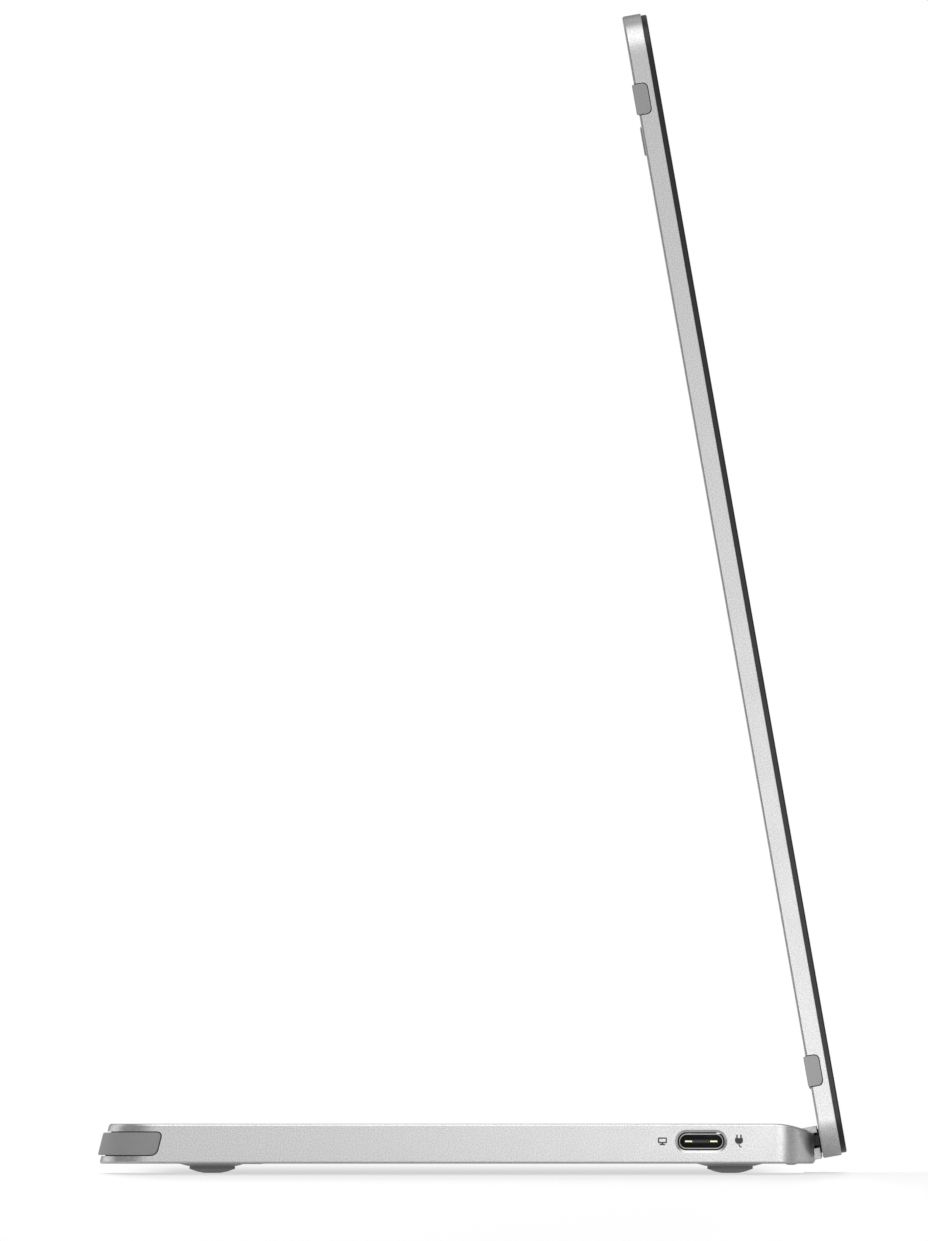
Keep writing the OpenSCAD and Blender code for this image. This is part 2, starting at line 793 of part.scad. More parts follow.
module usb_c_socket_right() color("silver") usb_c_socket();

module usb_c_socket_left() color("silver") mirror([1, 0, 0]) usb_c_socket();

module usb_c_tongue_right() color("black") usb_c_tongue();

module usb_c_tongue_left() color("black") mirror([1, 0, 0]) usb_c_tongue();

// ---- display casing

// Slab of the display's outline, set in from its faces
module display_slab(inset, y0, y1)
    along_y(y0, y1) round_rect(body_w - 2 * inset, low_z + inset, high_z - inset, disp_r - inset);

// Plain slab between two heights
module layer(half, z0, z1, y0, y1) block([-half, y0, z0], [half, y1, z1]);

module pad_places(centre)
    both_sides() translate([0, 0, centre]) children();

pad_low_z = low_z + pad_low;
pad_high_z = high_z - pad_high;

// A pad wraps round the edge from the back. Grown by the gap, this is also the seat cut for it.
module pad_outside(gap, out)
    block([half_w - pad_back - gap, back_y - pad_reach - gap, -pad_l / 2 - gap],
        [half_w + side_proud + out, back_y + pad_proud + out, pad_l / 2 + gap]);

module pad_core(depth)
    block([0, back_y - cover_t, -pad_l], [half_w - depth, back_y - depth, pad_l]);

module pad()
    difference() {
        pad_outside(0, 0);
        pad_core(pad_in);
    }

module pad_seat()
    difference() {
        pad_outside(0.1, past);
        pad_core(pad_in + slip);
    }

module arm_bosses()
    both_sides()
        for (x = arm_points)
            translate([x, 0, 0]) rod_y(inner_y - 1.4, inner_y, 2);

module display_back_cover() color("silver")
    on_display() difference() {
        display_slab(0, seam_y, back_y);
        difference() {
            display_slab(edge_wall, seam_y - past, inner_y);
            arm_bosses();
        }
        pad_places(pad_low_z) pad_seat();
        pad_places(pad_high_z) pad_seat();
        both_sides() {
            for (x = arm_points)
                translate([x, 0, 0]) rod_y(inner_y - 1.2, back_y + past, arm_screw[0] + slip);
            for (x = cover_points)
                translate([x, 0, 0]) rod_y(inner_y - past, back_y + past, arm_screw[0] + screw_clear);
        }
        translate([lead_bend, 0, 0]) rod_y(inner_y - past, back_y + past, lead_r + 0.2);
    }

module edge_pads_upper() color("gray") on_display() pad_places(pad_high_z) pad();

module edge_pads_lower() color("gray") on_display() pad_places(pad_low_z) pad();

module front_bezel() color("black")
    on_display() difference() {
        display_slab(bezel_inset, face_y, seam_y);
        display_slab(bezel_inset + bezel_rim, face_y - past, glass_back);
        layer(panel_half + 0.1, panel_low - 0.1, panel_high + 0.1, face_y, seam_y + past);
    }

module cover_glass() color("black")
    on_display() display_slab(bezel_inset + bezel_rim + 0.05, glass_front, glass_back - slip);

// ---- panel

module lcd_panel() color("darkslategray")
    on_display()
        layer(panel_half, panel_low, panel_high, panel_front, panel_front + panel_t);

module optical_sheets() color("white")
    on_display() layer(guide_half, guide_low, guide_high, sheets_front, sheets_front + sheets_t);

module light_guide() color("lightcyan")
    on_display() layer(guide_half, guide_low, guide_high, guide_front, guide_front + guide_t);

module reflector_sheet() color("white")
    on_display() layer(guide_half, guide_low, guide_high, reflector_front, reflector_front + reflector_t);

module led_strip() color("khaki")
    on_display() layer(guide_half, led_low, led_low + led_h, guide_front, guide_front + guide_t);

module panel_tray() color("gray")
    on_display() difference() {
        layer(tray_half, tray_low, tray_high, sheets_front, tray_front + tray_t);
        layer(tray_half - tray_t, tray_low + tray_t, tray_high - tray_t, sheets_front - past, tray_front);
    }

module panel_tapes() color("white")
    on_display()
        for (x = [-1, 1])
            block([x * tray_half * 0.7 - 6, tray_front + tray_t + slip, tray_low + 20],
                [x * tray_half * 0.7 + 6, inner_y - slip, tray_high - 40]);

driver_low = low_z + edge_wall + 0.4;
driver_high = tray_low - 1;
driver_back = inner_y - 0.05;
driver_front = driver_back - driver_t;

module driver_board() color("darkgreen")
    on_display() layer(driver_l / 2, driver_low, driver_high, driver_front, driver_back);

module driver_chips() color("black")
    on_display() {
        block([-6, driver_front - 1, driver_low + 0.8], [6, driver_front, driver_high - 0.8]);
        block([24, driver_front - 0.9, driver_low + 1], [29, driver_front, driver_high - 1.4]);
        block([lead_bend - 7, driver_front - 1.1, driver_low + 1],
            [lead_bend + 7, driver_front, driver_low + 5]);
    }

flex_w = 15;
flex_t = 0.15;
flex_low = driver_high - 1.2;
flex_front = seam_y + 0.08;

module panel_flexes() color("orange")
    on_display()
        for (x = flex_places)
            translate([x, 0, 0]) {
                block([-flex_w / 2, flex_front, flex_low],
                    [flex_w / 2, flex_front + flex_t, panel_low - slip]);
                block([-flex_w / 2, flex_front, flex_low],
                    [flex_w / 2, driver_front - slip, flex_low + flex_t]);
            }

// ---- hinge, on the display

// Outline of the hinge cover in Y and Z, set in by its wall
module cover_outline(inset) {
    circle(r = barrel_r - inset);
    polygon([
        [back_y + seam_gap - (inset > 0 ? past : 0), low_z + inset],
        [-1.8, low_z + inset],
        [0, -barrel_r + inset],
        [0, barrel_r - inset],
        [back_y + seam_gap - (inset > 0 ? past : 0), barrel_r - inset]
    ]);
}

module hinge_cover() color("lightgray")
    on_display() difference() {
        union() {
            along_x(-cover_half, cover_half) cover_outline(0);
            // Ribs and screw bosses that bear on the display's back
            for (x = rib_points)
                block([x - 0.5, back_y + slip, -2.6], [x + 0.5, back_y + 1, barrel_r - cover_wall]);
            both_sides()
                for (x = cover_points)
                    translate([x, 0, 0]) rod_y(back_y + slip, back_y + 1, 2);
        }
        difference() {
            along_x(-cover_half + end_wall, cover_half - end_wall) cover_outline(cover_wall);
            for (x = rib_points)
                block([x - 0.5, back_y - past, -base_t], [x + 0.5, barrel_r, base_t]);
            both_sides()
                for (x = cover_points)
                    translate([x, 0, 0]) rod_y(back_y, barrel_r, 2);
        }
        both_sides() {
            // Slot in the end wall for the arm and its eye
            rod_x(cover_half - end_wall - past, cover_half + past, arm_r + 0.15);
            block([cover_half - end_wall - past, back_y - past, -arm_t / 2 - slot_gap],
                [cover_half + past, 0, arm_t / 2 + slot_gap]);
            for (x = cover_points)
                translate([x, 0, 0]) rod_y(back_y - past, -1, arm_screw[0] + slip);
        }
        // Window that the base's half of the lead swings in
        block([-lead_x - lead_r - 0.3, -0.4, -2.5],
            [-lead_x + lead_r + 0.3, barrel_r + past, barrel_r + past]);
    }

module hinge_cover_screws() color("gray")
    on_display() both_sides()
        for (x = cover_points)
            translate([x, 0, 0]) {
                rod_y(inner_y - arm_screw[2], -1.1, arm_screw[0]);
                rod_y(inner_y - arm_screw[2], inner_y - slip, arm_screw[1]);
            }

module hinge_arm()
    difference() {
        union() {
            rod_x(arm_x0, arm_x1, arm_r);
            block([arm_x0, back_y + slip, -arm_t / 2], [arm_x1, 0, arm_t / 2]);
            block([arm_x1 - arm_foot_l, back_y + slip, -2.6],
                [arm_x1 - end_wall - 0.3, back_y + arm_foot_t, arm_r]);
        }
        rod_x(arm_x0 - past, arm_x1 + past, shaft_r + slip);
        for (x = arm_points)
            translate([x, 0, 0]) rod_y(back_y - past, back_y + base_t, arm_screw[0] + screw_clear);
    }

module hinge_arm_right() color("dimgray") on_display() hinge_arm();

module hinge_arm_left() color("dimgray") on_display() mirror([1, 0, 0]) hinge_arm();

module arm_screws() color("gray")
    on_display() both_sides()
        for (x = arm_points)
            translate([x, 0, 0]) {
                rod_y(inner_y - 1.1, back_y + arm_foot_t + arm_screw[2], arm_screw[0]);
                rod_y(back_y + arm_foot_t + slip, back_y + arm_foot_t + arm_screw[2], arm_screw[1]);
            }

washer_x = bracket_x1 + 0.1;
nut_x = washer_x + 2 * (washer_t + slip) + slip;
shaft_x1 = nut_x + nut_l + 0.6;

module hinge_shaft() rod_x(arm_x0 + 0.2, shaft_x1, shaft_r);

module hinge_shaft_right() color("silver") on_display() hinge_shaft();

module hinge_shaft_left() color("silver") on_display() mirror([1, 0, 0]) hinge_shaft();

module ring_x(x, l, r)
    difference() {
        rod_x(x, x + l, r);
        rod_x(x - past, x + l + past, shaft_r + slip);
    }

module friction_washers() color("silver")
    on_display() both_sides() {
        ring_x(arm_x1 + 0.1, bracket_x0 - arm_x1 - 0.2, washer_r);
        ring_x(washer_x, washer_t, washer_r);
        ring_x(washer_x + washer_t + slip, washer_t, washer_r);
    }

module hinge_nuts() color("gray")
    on_display() both_sides() difference() {
        translate([nut_x, 0, 0]) rotate([0, 90, 0]) cylinder(h = nut_l, r = washer_r, $fn = 6);
        rod_x(nut_x - past, nut_x + nut_l + past, shaft_r + slip);
    }

base_shell();
bottom_plate();
rubber_feet();
plate_screws();
domed_screws();
rear_rubber_strip();
hinge_bracket_left();
hinge_bracket_right();
bracket_screws();
main_board();
board_chips();
shield_can();
lead_connector();
ribbon_connectors();
port_board();
board_screws();
board_ribbon();
base_lead();
tact_switches();
power_light_pipe();
usb_c_socket_left();
usb_c_socket_right();
usb_c_tongue_left();
usb_c_tongue_right();
power_button();
dimmer_button();
brighter_button();
display_back_cover();
front_bezel();
cover_glass();
lcd_panel();
optical_sheets();
light_guide();
reflector_sheet();
led_strip();
panel_tray();
panel_tapes();
driver_board();
driver_chips();
panel_flexes();
display_lead();
edge_pads_upper();
edge_pads_lower();
hinge_cover();
hinge_cover_screws();
hinge_arm_left();
hinge_arm_right();
arm_screws();
hinge_shaft_left();
hinge_shaft_right();
friction_washers();
hinge_nuts();
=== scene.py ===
import json
import math

import bmesh
import bpy
from mathutils import Matrix, Vector
from mathutils.bvhtree import BVHTree


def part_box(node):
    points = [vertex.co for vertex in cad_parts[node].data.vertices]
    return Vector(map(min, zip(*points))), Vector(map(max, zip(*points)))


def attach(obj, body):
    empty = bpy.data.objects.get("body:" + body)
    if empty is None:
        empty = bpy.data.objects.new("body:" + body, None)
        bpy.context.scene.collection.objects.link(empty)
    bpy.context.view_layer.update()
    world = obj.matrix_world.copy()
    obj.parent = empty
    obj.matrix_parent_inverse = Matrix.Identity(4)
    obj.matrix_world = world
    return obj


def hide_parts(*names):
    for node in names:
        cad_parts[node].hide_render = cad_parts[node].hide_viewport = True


# A thin portable monitor, folded open: a flat display hinged to the front of a flat base.
# The photograph looks along its width, at the left side.

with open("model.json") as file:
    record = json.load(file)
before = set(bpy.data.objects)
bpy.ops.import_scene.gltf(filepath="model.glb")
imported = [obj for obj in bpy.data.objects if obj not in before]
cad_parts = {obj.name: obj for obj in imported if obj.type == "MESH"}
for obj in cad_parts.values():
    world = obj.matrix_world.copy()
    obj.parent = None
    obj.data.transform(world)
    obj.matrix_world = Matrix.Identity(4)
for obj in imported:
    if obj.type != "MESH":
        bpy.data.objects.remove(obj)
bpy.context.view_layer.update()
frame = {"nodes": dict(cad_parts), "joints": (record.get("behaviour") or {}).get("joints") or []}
nodes = frame["nodes"]
scene = bpy.context.scene
scene.view_settings.view_transform = "Standard"
mm = 0.001
print("frame loaded:", len(nodes), "nodes")

tilt = next(joint for joint in frame["joints"] if joint["name"] == "display_tilt")
hinge = Vector(tilt["pos_m"])
leanAngle = math.radians(10)  # the display's lean at rest
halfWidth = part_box("base_shell")[1].x
onDisplay = Matrix.Translation(hinge) @ Matrix.Rotation(-leanAngle, 4, "X")
toDisplay = onDisplay.inverted()  # gives X, Y to the display's back and Z up it, from the hinge axis

# the camera, level with the hinge

cameraSet = {
    "lens": 1250,  # mm, so long that the view is nearly parallel
    "frameHeight": 246.96,  # mm of the near side that the frame covers
    "middleY": 1.58,  # mm, where the frame's middle falls on the near side
    "middleZ": 109.95,
    "displayDepth": 6.95,  # mm from the hinge axis to the middle of the display's thickness
}


def addCamera():
    lens = bpy.data.cameras.new("sideCamera")
    lens.lens = cameraSet["lens"]
    distance = cameraSet["frameHeight"] * mm * lens.lens / lens.sensor_width
    lens.clip_end = distance * 3
    camera = bpy.data.objects.new("sideCamera", lens)
    scene.collection.objects.link(camera)
    # at that height base and display hide their own far sides
    middle = cameraSet["displayDepth"] * mm / math.cos(leanAngle)
    camera.location = (-halfWidth - distance, hinge.y - middle, hinge.z)
    aim = Vector((-halfWidth, cameraSet["middleY"] * mm, cameraSet["middleZ"] * mm))
    camera.rotation_euler = (aim - camera.location).to_track_quat("-Z", "Y").to_euler()
    scene.camera = camera


addCamera()

# materials: each has a fine grain in its colour and relief, and a broad one in its gloss


def colour(hexText):
    steps = [int(hexText[place:place + 2], 16) / 255 for place in (0, 2, 4)]
    return [s / 12.92 if s <= 0.04045 else ((s + 0.055) / 1.055) ** 2.4 for s in steps] + [1]


def addNode(tree, kind, inputs=None, **settings):
    node = tree.nodes.new("ShaderNode" + kind)
    for name, value in settings.items():
        setattr(node, name, value)
    for name, value in (inputs or {}).items():
        if isinstance(value, bpy.types.NodeSocket):
            tree.links.new(value, node.inputs[name])
        else:
            node.inputs[name].default_value = value
    return node


def newMaterial(name, sockets):
    material = bpy.data.materials.new(name)
    material.use_nodes = True
    tree = material.node_tree
    shader = tree.nodes["Principled BSDF"]
    for socket, value in sockets.items():
        shader.inputs[socket].default_value = value
    return material, tree, shader


cloudSize = 9  # mm, patches in which a finish is a little duller or glossier


def surface(name, sockets, grain, tints=None, gloss=None):
    # grain: size and depth in mm. One fine noise raises the surface and shifts its colour between
    # the two tints, and a broad one varies its roughness between the two values of gloss
    material, tree, shader = newMaterial(name, sockets)
    place = addNode(tree, "TexCoord").outputs["Object"]
    noise = addNode(tree, "TexNoise", {"Vector": place, "Scale": 1 / (grain[0] * mm), "Detail": 1.0})
    bump = addNode(tree, "Bump", {"Height": noise.outputs["Fac"], "Distance": grain[1] * mm})
    tree.links.new(bump.outputs["Normal"], shader.inputs["Normal"])
    if tints:
        share = addNode(tree, "MapRange", {"Value": noise.outputs["Fac"], "From Min": 0.3,
                                           "From Max": 0.7})
        mix = addNode(tree, "Mix", {0: share.outputs["Result"], 6: colour(tints[0]),
                                    7: colour(tints[1])}, data_type="RGBA")
        tree.links.new(mix.outputs[2], shader.inputs["Base Color"])
    if gloss:
        cloud = addNode(tree, "TexNoise", {"Vector": place, "Scale": 1 / (cloudSize * mm), "Detail": 3.0})
        rough = addNode(tree, "MapRange", {"Value": cloud.outputs["Fac"], "From Min": 0.3,
                                           "From Max": 0.7, "To Min": gloss[0], "To Max": gloss[1]})
        tree.links.new(rough.outputs["Result"], shader.inputs["Roughness"])
    return material


finish = {
    # bead-blasted and silver anodised aluminium: a satin sheen with a fine sparkling grain, drawn
    # coarser than the real beads leave it so that it shows
    "anodised_aluminium": surface("anodisedAluminium", {"Metallic": 1.0, "Roughness": 0.34},
                                  (0.25, 0.0025), ("c4c4c4", "e2e2e2"), (0.32, 0.36)),
    # silver paint on pressed steel: softer than the casing, with a slight orange peel
    "painted_steel": surface("silverPaintedSteel", {"Metallic": 0.75, "Roughness": 0.45},
                             (0.8, 0.006), ("b9b9b9", "c6c6c6"), (0.4, 0.5)),
    # moulded silicone rubber, mid grey: matt, with a spark-eroded mould texture
    "grey_rubber": surface("greyRubber", {"Roughness": 0.55},
                           (0.25, 0.003), ("a8a8a8", "adadad"), (0.5, 0.62)),
    # moulded rubber feet, dark grey, drawn a mid grey: painted light that stands in for the light the
    # feet lack under the base
    "dark_rubber": surface("darkRubberPaintedLight", {"Roughness": 0.5}, (0.3, 0.004), ("969696", "9e9e9e"),
                           (0.45, 0.58)),
    # blackened spring steel of the hinge: dark, with a dull shine
    "hinge_steel": surface("blackenedSteel", {"Metallic": 1.0, "Roughness": 0.42},
                           (0.25, 0.002), ("4a4a4c", "58585a"), (0.36, 0.48)),
    # zinc-plated screws: bright grey with a fine tooling grain
    "screw_steel": surface("zincPlatedSteel", {"Metallic": 1.0, "Roughness": 0.3},
                           (0.12, 0.001), ("b3b5b8", "c3c5c8"), (0.24, 0.36)),
    # tin-plated sheet: mirror-like but clouded
    "sheet_steel": surface("tinPlatedSheet", {"Metallic": 1.0, "Roughness": 0.28},
                           (0.5, 0.001), ("c6c6c2", "d0d0cc"), (0.22, 0.38)),
    # deep-drawn stainless steel of the socket shells
    "socket_steel": surface("drawnStainlessSteel", {"Metallic": 1.0, "Roughness": 0.22},
                            (0.2, 0.0008), ("a2a2a2", "b2b2b2"), (0.18, 0.28)),
    # black liquid crystal polymer of the tongues
    "tongue_plastic": surface("blackSocketPlastic", {"Roughness": 0.5}, (0.15, 0.002),
                              ("1b1b1c", "242425"), (0.42, 0.55)),
    # green solder mask over glass fibre: glossy, with the weave just showing
    "circuit_board": surface("greenSolderMask", {"Roughness": 0.3}, (0.6, 0.004),
                             ("0d3b22", "14502f"), (0.25, 0.35)),
    # moulded epoxy of the chips
    "chip_plastic": surface("blackEpoxy", {"Roughness": 0.55}, (0.1, 0.002),
                            ("1e1e1f", "29292a"), (0.5, 0.6)),
    # ivory nylon of the connectors
    "connector_plastic": surface("ivoryNylon", {"Roughness": 0.45}, (0.3, 0.002),
                                 ("ded8c4", "e6e1cf"), (0.4, 0.5)),
    # amber polyimide film over copper
    "flex_film": surface("amberPolyimide", {"Roughness": 0.25}, (0.8, 0.001),
                         ("8f4d12", "b8691d"), (0.2, 0.3)),
    # black PVC jacket of the display lead
    "lead_jacket": surface("blackPvc", {"Roughness": 0.42}, (0.3, 0.002),
                           ("1c1c1d", "242426"), (0.38, 0.48)),
    # clear moulded acrylic
    "clear_acrylic": surface("clearAcrylic", {"Base Color": (0.95, 0.96, 0.96, 1), "Roughness": 0.08,
                                              "IOR": 1.49, "Transmission Weight": 0.85},
                             (2.0, 0.001)),
    # black glass-filled plastic of the front frame: satin, with a very fine mould texture
    "black_plastic": surface("blackMouldedPlastic", {"Roughness": 0.3}, (0.2, 0.001),
                             ("080808", "0c0c0c"), (0.26, 0.34)),
    # dark polariser on the liquid crystal panel
    "panel_glass": surface("darkPolariser", {"Roughness": 0.2}, (1.0, 0.0005),
                           ("15181a", "1b1f21"), (0.16, 0.24)),
    # white diffusing film
    "white_film": surface("whiteDiffuserFilm", {"Roughness": 0.4}, (0.3, 0.001),
                          ("eeeeec", "f4f4f2"), (0.35, 0.45)),
    # phosphor caps of the lamps: a row of yellow dots
    "led_yellow": surface("phosphorYellow", {"Roughness": 0.4}, (1.2, 0.003),
                          ("c9b04a", "e2cd63"), (0.35, 0.45)),
}

# painted shade in the recesses, on the faces that lie close against the pieces let into them: a dull dark
# grey
recessPaintedShade = surface("paintedRecessShade", {"Metallic": 0.5, "Roughness": 0.6}, (0.3, 0.002),
                      ("3a3a3a", "464646"), (0.55, 0.65))
# the rear strip's silicone rubber: a copy of the pads' grey rubber drawn a shade darker, painted shade
# that takes back the light the strip gets from the floor below it
shadedStripRubber = surface("shadedStripRubber", {"Roughness": 0.55},
                      (0.25, 0.003), ("929292", "979797"), (0.5, 0.62))
# gold flash over nickel on the socket's contacts: pale gold
paleGold = surface("paleGold", {"Metallic": 1.0, "Roughness": 0.25}, (0.2, 0.0006),
                   ("e9e3c0", "f4eed0"), (0.2, 0.3))
# grey pad-printed ink of the pictograms
printedInk = surface("greyInk", {"Roughness": 0.6}, (0.15, 0.001),
                     ("3c3c3d", "444446"), (0.55, 0.65))

screenSet = {
    "halfWide": 172.35,  # mm, the lit area
    "low": 6.9,  # mm from the hinge axis, up the display
    "high": 222.3,
    "grain": 1.5,  # mm
}


def screenGlass():
    # low-glare cover glass bonded to a dark panel: near black, with a printed border a shade
    # blacker than the panel behind it, under one hard clear coat
    material, tree, shader = newMaterial("bondedCoverGlass", {
        "Specular IOR Level": 0.0, "Coat Weight": 1.0, "Coat Roughness": 0.06, "Coat IOR": 1.5})
    place = addNode(tree, "TexCoord").outputs["Object"]
    centred = addNode(tree, "Mapping", {"Vector": place, "Location": tuple(-hinge)})
    turned = addNode(tree, "Mapping", {"Vector": centred.outputs[0], "Rotation": (leanAngle, 0, 0)})
    parts = addNode(tree, "SeparateXYZ", {0: turned.outputs[0]})
    across = addNode(tree, "Math", {0: parts.outputs["X"]}, operation="ABSOLUTE")
    middle = (screenSet["low"] + screenSet["high"]) / 2
    rise = addNode(tree, "Math", {0: parts.outputs["Z"], 1: middle * mm}, operation="SUBTRACT")
    up = addNode(tree, "Math", {0: rise.outputs[0]}, operation="ABSOLUTE")
    inWide = addNode(tree, "Math", {0: across.outputs[0], 1: screenSet["halfWide"] * mm},
                     operation="LESS_THAN")
    inHigh = addNode(tree, "Math", {0: up.outputs[0], 1: (screenSet["high"] - middle) * mm},
                     operation="LESS_THAN")
    lit = addNode(tree, "Math", {0: inWide.outputs[0], 1: inHigh.outputs[0]}, operation="MULTIPLY")
    grain = addNode(tree, "TexNoise", {"Vector": place, "Scale": 1 / (screenSet["grain"] * mm),
                                       "Detail": 2.0})
    panel = addNode(tree, "Mix", {0: grain.outputs["Fac"], 6: colour("181b1d"),
                                  7: colour("1e2124")}, data_type="RGBA")
    base = addNode(tree, "Mix", {0: lit.outputs[0], 6: colour("060607"), 7: panel.outputs[2]},
                   data_type="RGBA")
    tree.links.new(base.outputs[2], shader.inputs["Base Color"])
    return material


finish["screen_glass"] = screenGlass()
print("materials:", len(bpy.data.materials))

# modelling helpers

recessReach = 0.3  # mm, how near a recess's faces lie to the piece let into it, to take the painted shade
leastTurn = 25  # degrees, flatter edges are never bevelled


def work(piece):
    bpy.ops.object.select_all(action="DESELECT")
    piece.select_set(True)
    bpy.context.view_layer.objects.active = piece


def copyOfNode(nodeName, pieceName, reshape=None):
    # the machined or moulded shape, its loose triangles merged and flat faces joined up;
    # reshape(piece) works on it while it is all triangles
    piece = bpy.data.objects.new(pieceName, nodes[nodeName].data.copy())
    piece.data.name = pieceName
    piece.data.materials.clear()
    scene.collection.objects.link(piece)
    work(piece)
    bpy.ops.object.mode_set(mode="EDIT")
    bpy.ops.mesh.customdata_custom_splitnormals_clear()
    bpy.ops.mesh.select_all(action="SELECT")
    bpy.ops.mesh.remove_doubles(threshold=0.001 * mm)
    if reshape:
        bpy.ops.object.mode_set(mode="OBJECT")
        reshape(piece)
        bpy.ops.object.mode_set(mode="EDIT")
        bpy.ops.mesh.select_all(action="SELECT")
        bpy.ops.mesh.remove_doubles(threshold=0.005 * mm)
    bpy.ops.mesh.dissolve_limited(angle_limit=math.radians(0.5))
    bpy.ops.object.mode_set(mode="OBJECT")
    return piece


def bevel(piece, width, segments, wanted, place=Matrix.Identity(4), clamp=False):
    # wanted(middle in mm, turn in degrees, direction, the two face normals) picks the edges;
    # turn is above 0 on an outer edge and below 0 on an inner one
    work(piece)
    bpy.ops.object.mode_set(mode="EDIT")
    bpy.ops.mesh.select_mode(type="EDGE")
    bpy.ops.mesh.select_all(action="DESELECT")
    edit = bmesh.from_edit_mesh(piece.data)
    turned = place.to_3x3()
    picked = 0
    for edge in edit.edges:
        if len(edge.link_faces) != 2:
            continue
        turn = math.degrees(edge.calc_face_angle_signed(0))
        if abs(turn) < leastTurn:
            continue
        ends = [place @ vertex.co for vertex in edge.verts]
        normals = [turned @ face.normal for face in edge.link_faces]
        if wanted((ends[0] + ends[1]) / 2 / mm, turn, (ends[1] - ends[0]).normalized(), normals):
            edge.select = True
            picked += 1
    bmesh.update_edit_mesh(piece.data)
    if picked:
        bpy.ops.mesh.bevel(offset=width * mm, segments=segments, affect="EDGES",
                           clamp_overlap=clamp)
    bpy.ops.object.mode_set(mode="OBJECT")
    print("  ", piece.name, "bevel", width, "mm on", picked, "edges")


def nudge(piece, shift, wanted, place=Matrix.Identity(4)):
    # moves the vertices that wanted(place in mm) picks
    work(piece)
    bpy.ops.object.mode_set(mode="EDIT")
    bpy.ops.mesh.select_mode(type="VERT")
    bpy.ops.mesh.select_all(action="DESELECT")
    edit = bmesh.from_edit_mesh(piece.data)
    for vertex in edit.verts:
        vertex.select = wanted(place @ vertex.co / mm)
    bmesh.update_edit_mesh(piece.data)
    bpy.ops.transform.translate(value=Vector(shift) * mm)
    bpy.ops.object.mode_set(mode="OBJECT")


def paintRecessShade(piece, nodeName):
    # faces that lie close against the piece let into them get the second material, a painted shade
    fitted = nodes[nodeName].data
    tree = BVHTree.FromPolygons([vertex.co for vertex in fitted.vertices],
                                [polygon.vertices for polygon in fitted.polygons])
    found = 0
    for polygon in piece.data.polygons:
        at = tree.find_nearest(polygon.center, recessReach * mm)[0]
        # the side itself and the sockets' sloped rims keep the casing's finish
        outer = abs(polygon.normal.x) > 0.3 and abs(polygon.center.x) > halfWidth - 0.2 * mm
        if at is not None and not outer:
            polygon.material_index = 1
            found += 1
    print("  ", piece.name, "recess faces by", nodeName, found)


def finishPiece(piece, body, slot, replaced=(), material=None, smooth=30, shadedRecesses=()):
    piece.data.materials.append(material or finish[slot])
    # faces in the recesses of these pieces get a painted shade
    if shadedRecesses:
        piece.data.materials.append(recessPaintedShade)
        for nodeName in shadedRecesses:
            paintRecessShade(piece, nodeName)
    work(piece)
    bpy.ops.object.shade_smooth_by_angle(angle=math.radians(smooth))
    weights = piece.modifiers.new("weights", "WEIGHTED_NORMAL")
    weights.keep_sharp = True
    bpy.ops.object.modifier_apply(modifier="weights")
    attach(piece, body)
    if replaced:
        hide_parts(*replaced)


def outsideOf(middle, normals, centre):
    # the more level of the two faces looks away from the centre
    level = min(normals, key=lambda normal: abs(normal.z))
    return level.dot(middle - centre) > 0


# base casing

baseSet = {
    "edgeBreak": 0.42,  # mm, blasted and anodised edges
    "wellBreak": 0.25,  # edges of the hinge's well
    "wellDepth": 2.6,
    "wellReach": 8,  # from the front
    "outerReach": 16,  # from the sides, the well lies further in than this
    "rimDepth": 0.35,  # slope round each socket
    "rimReach": (2.1, 2.6),  # holds the ledge's outer edge, from the line between its arcs' centres
    "rimHalf": 2.88,  # half of that line
    "rimSpan": 6,  # from the socket's middle, the whole ledge lies within this
    "grooveCorner": 1.2,  # corners of the strip's groove
    "grooveStart": 50,  # mm behind the middle
}


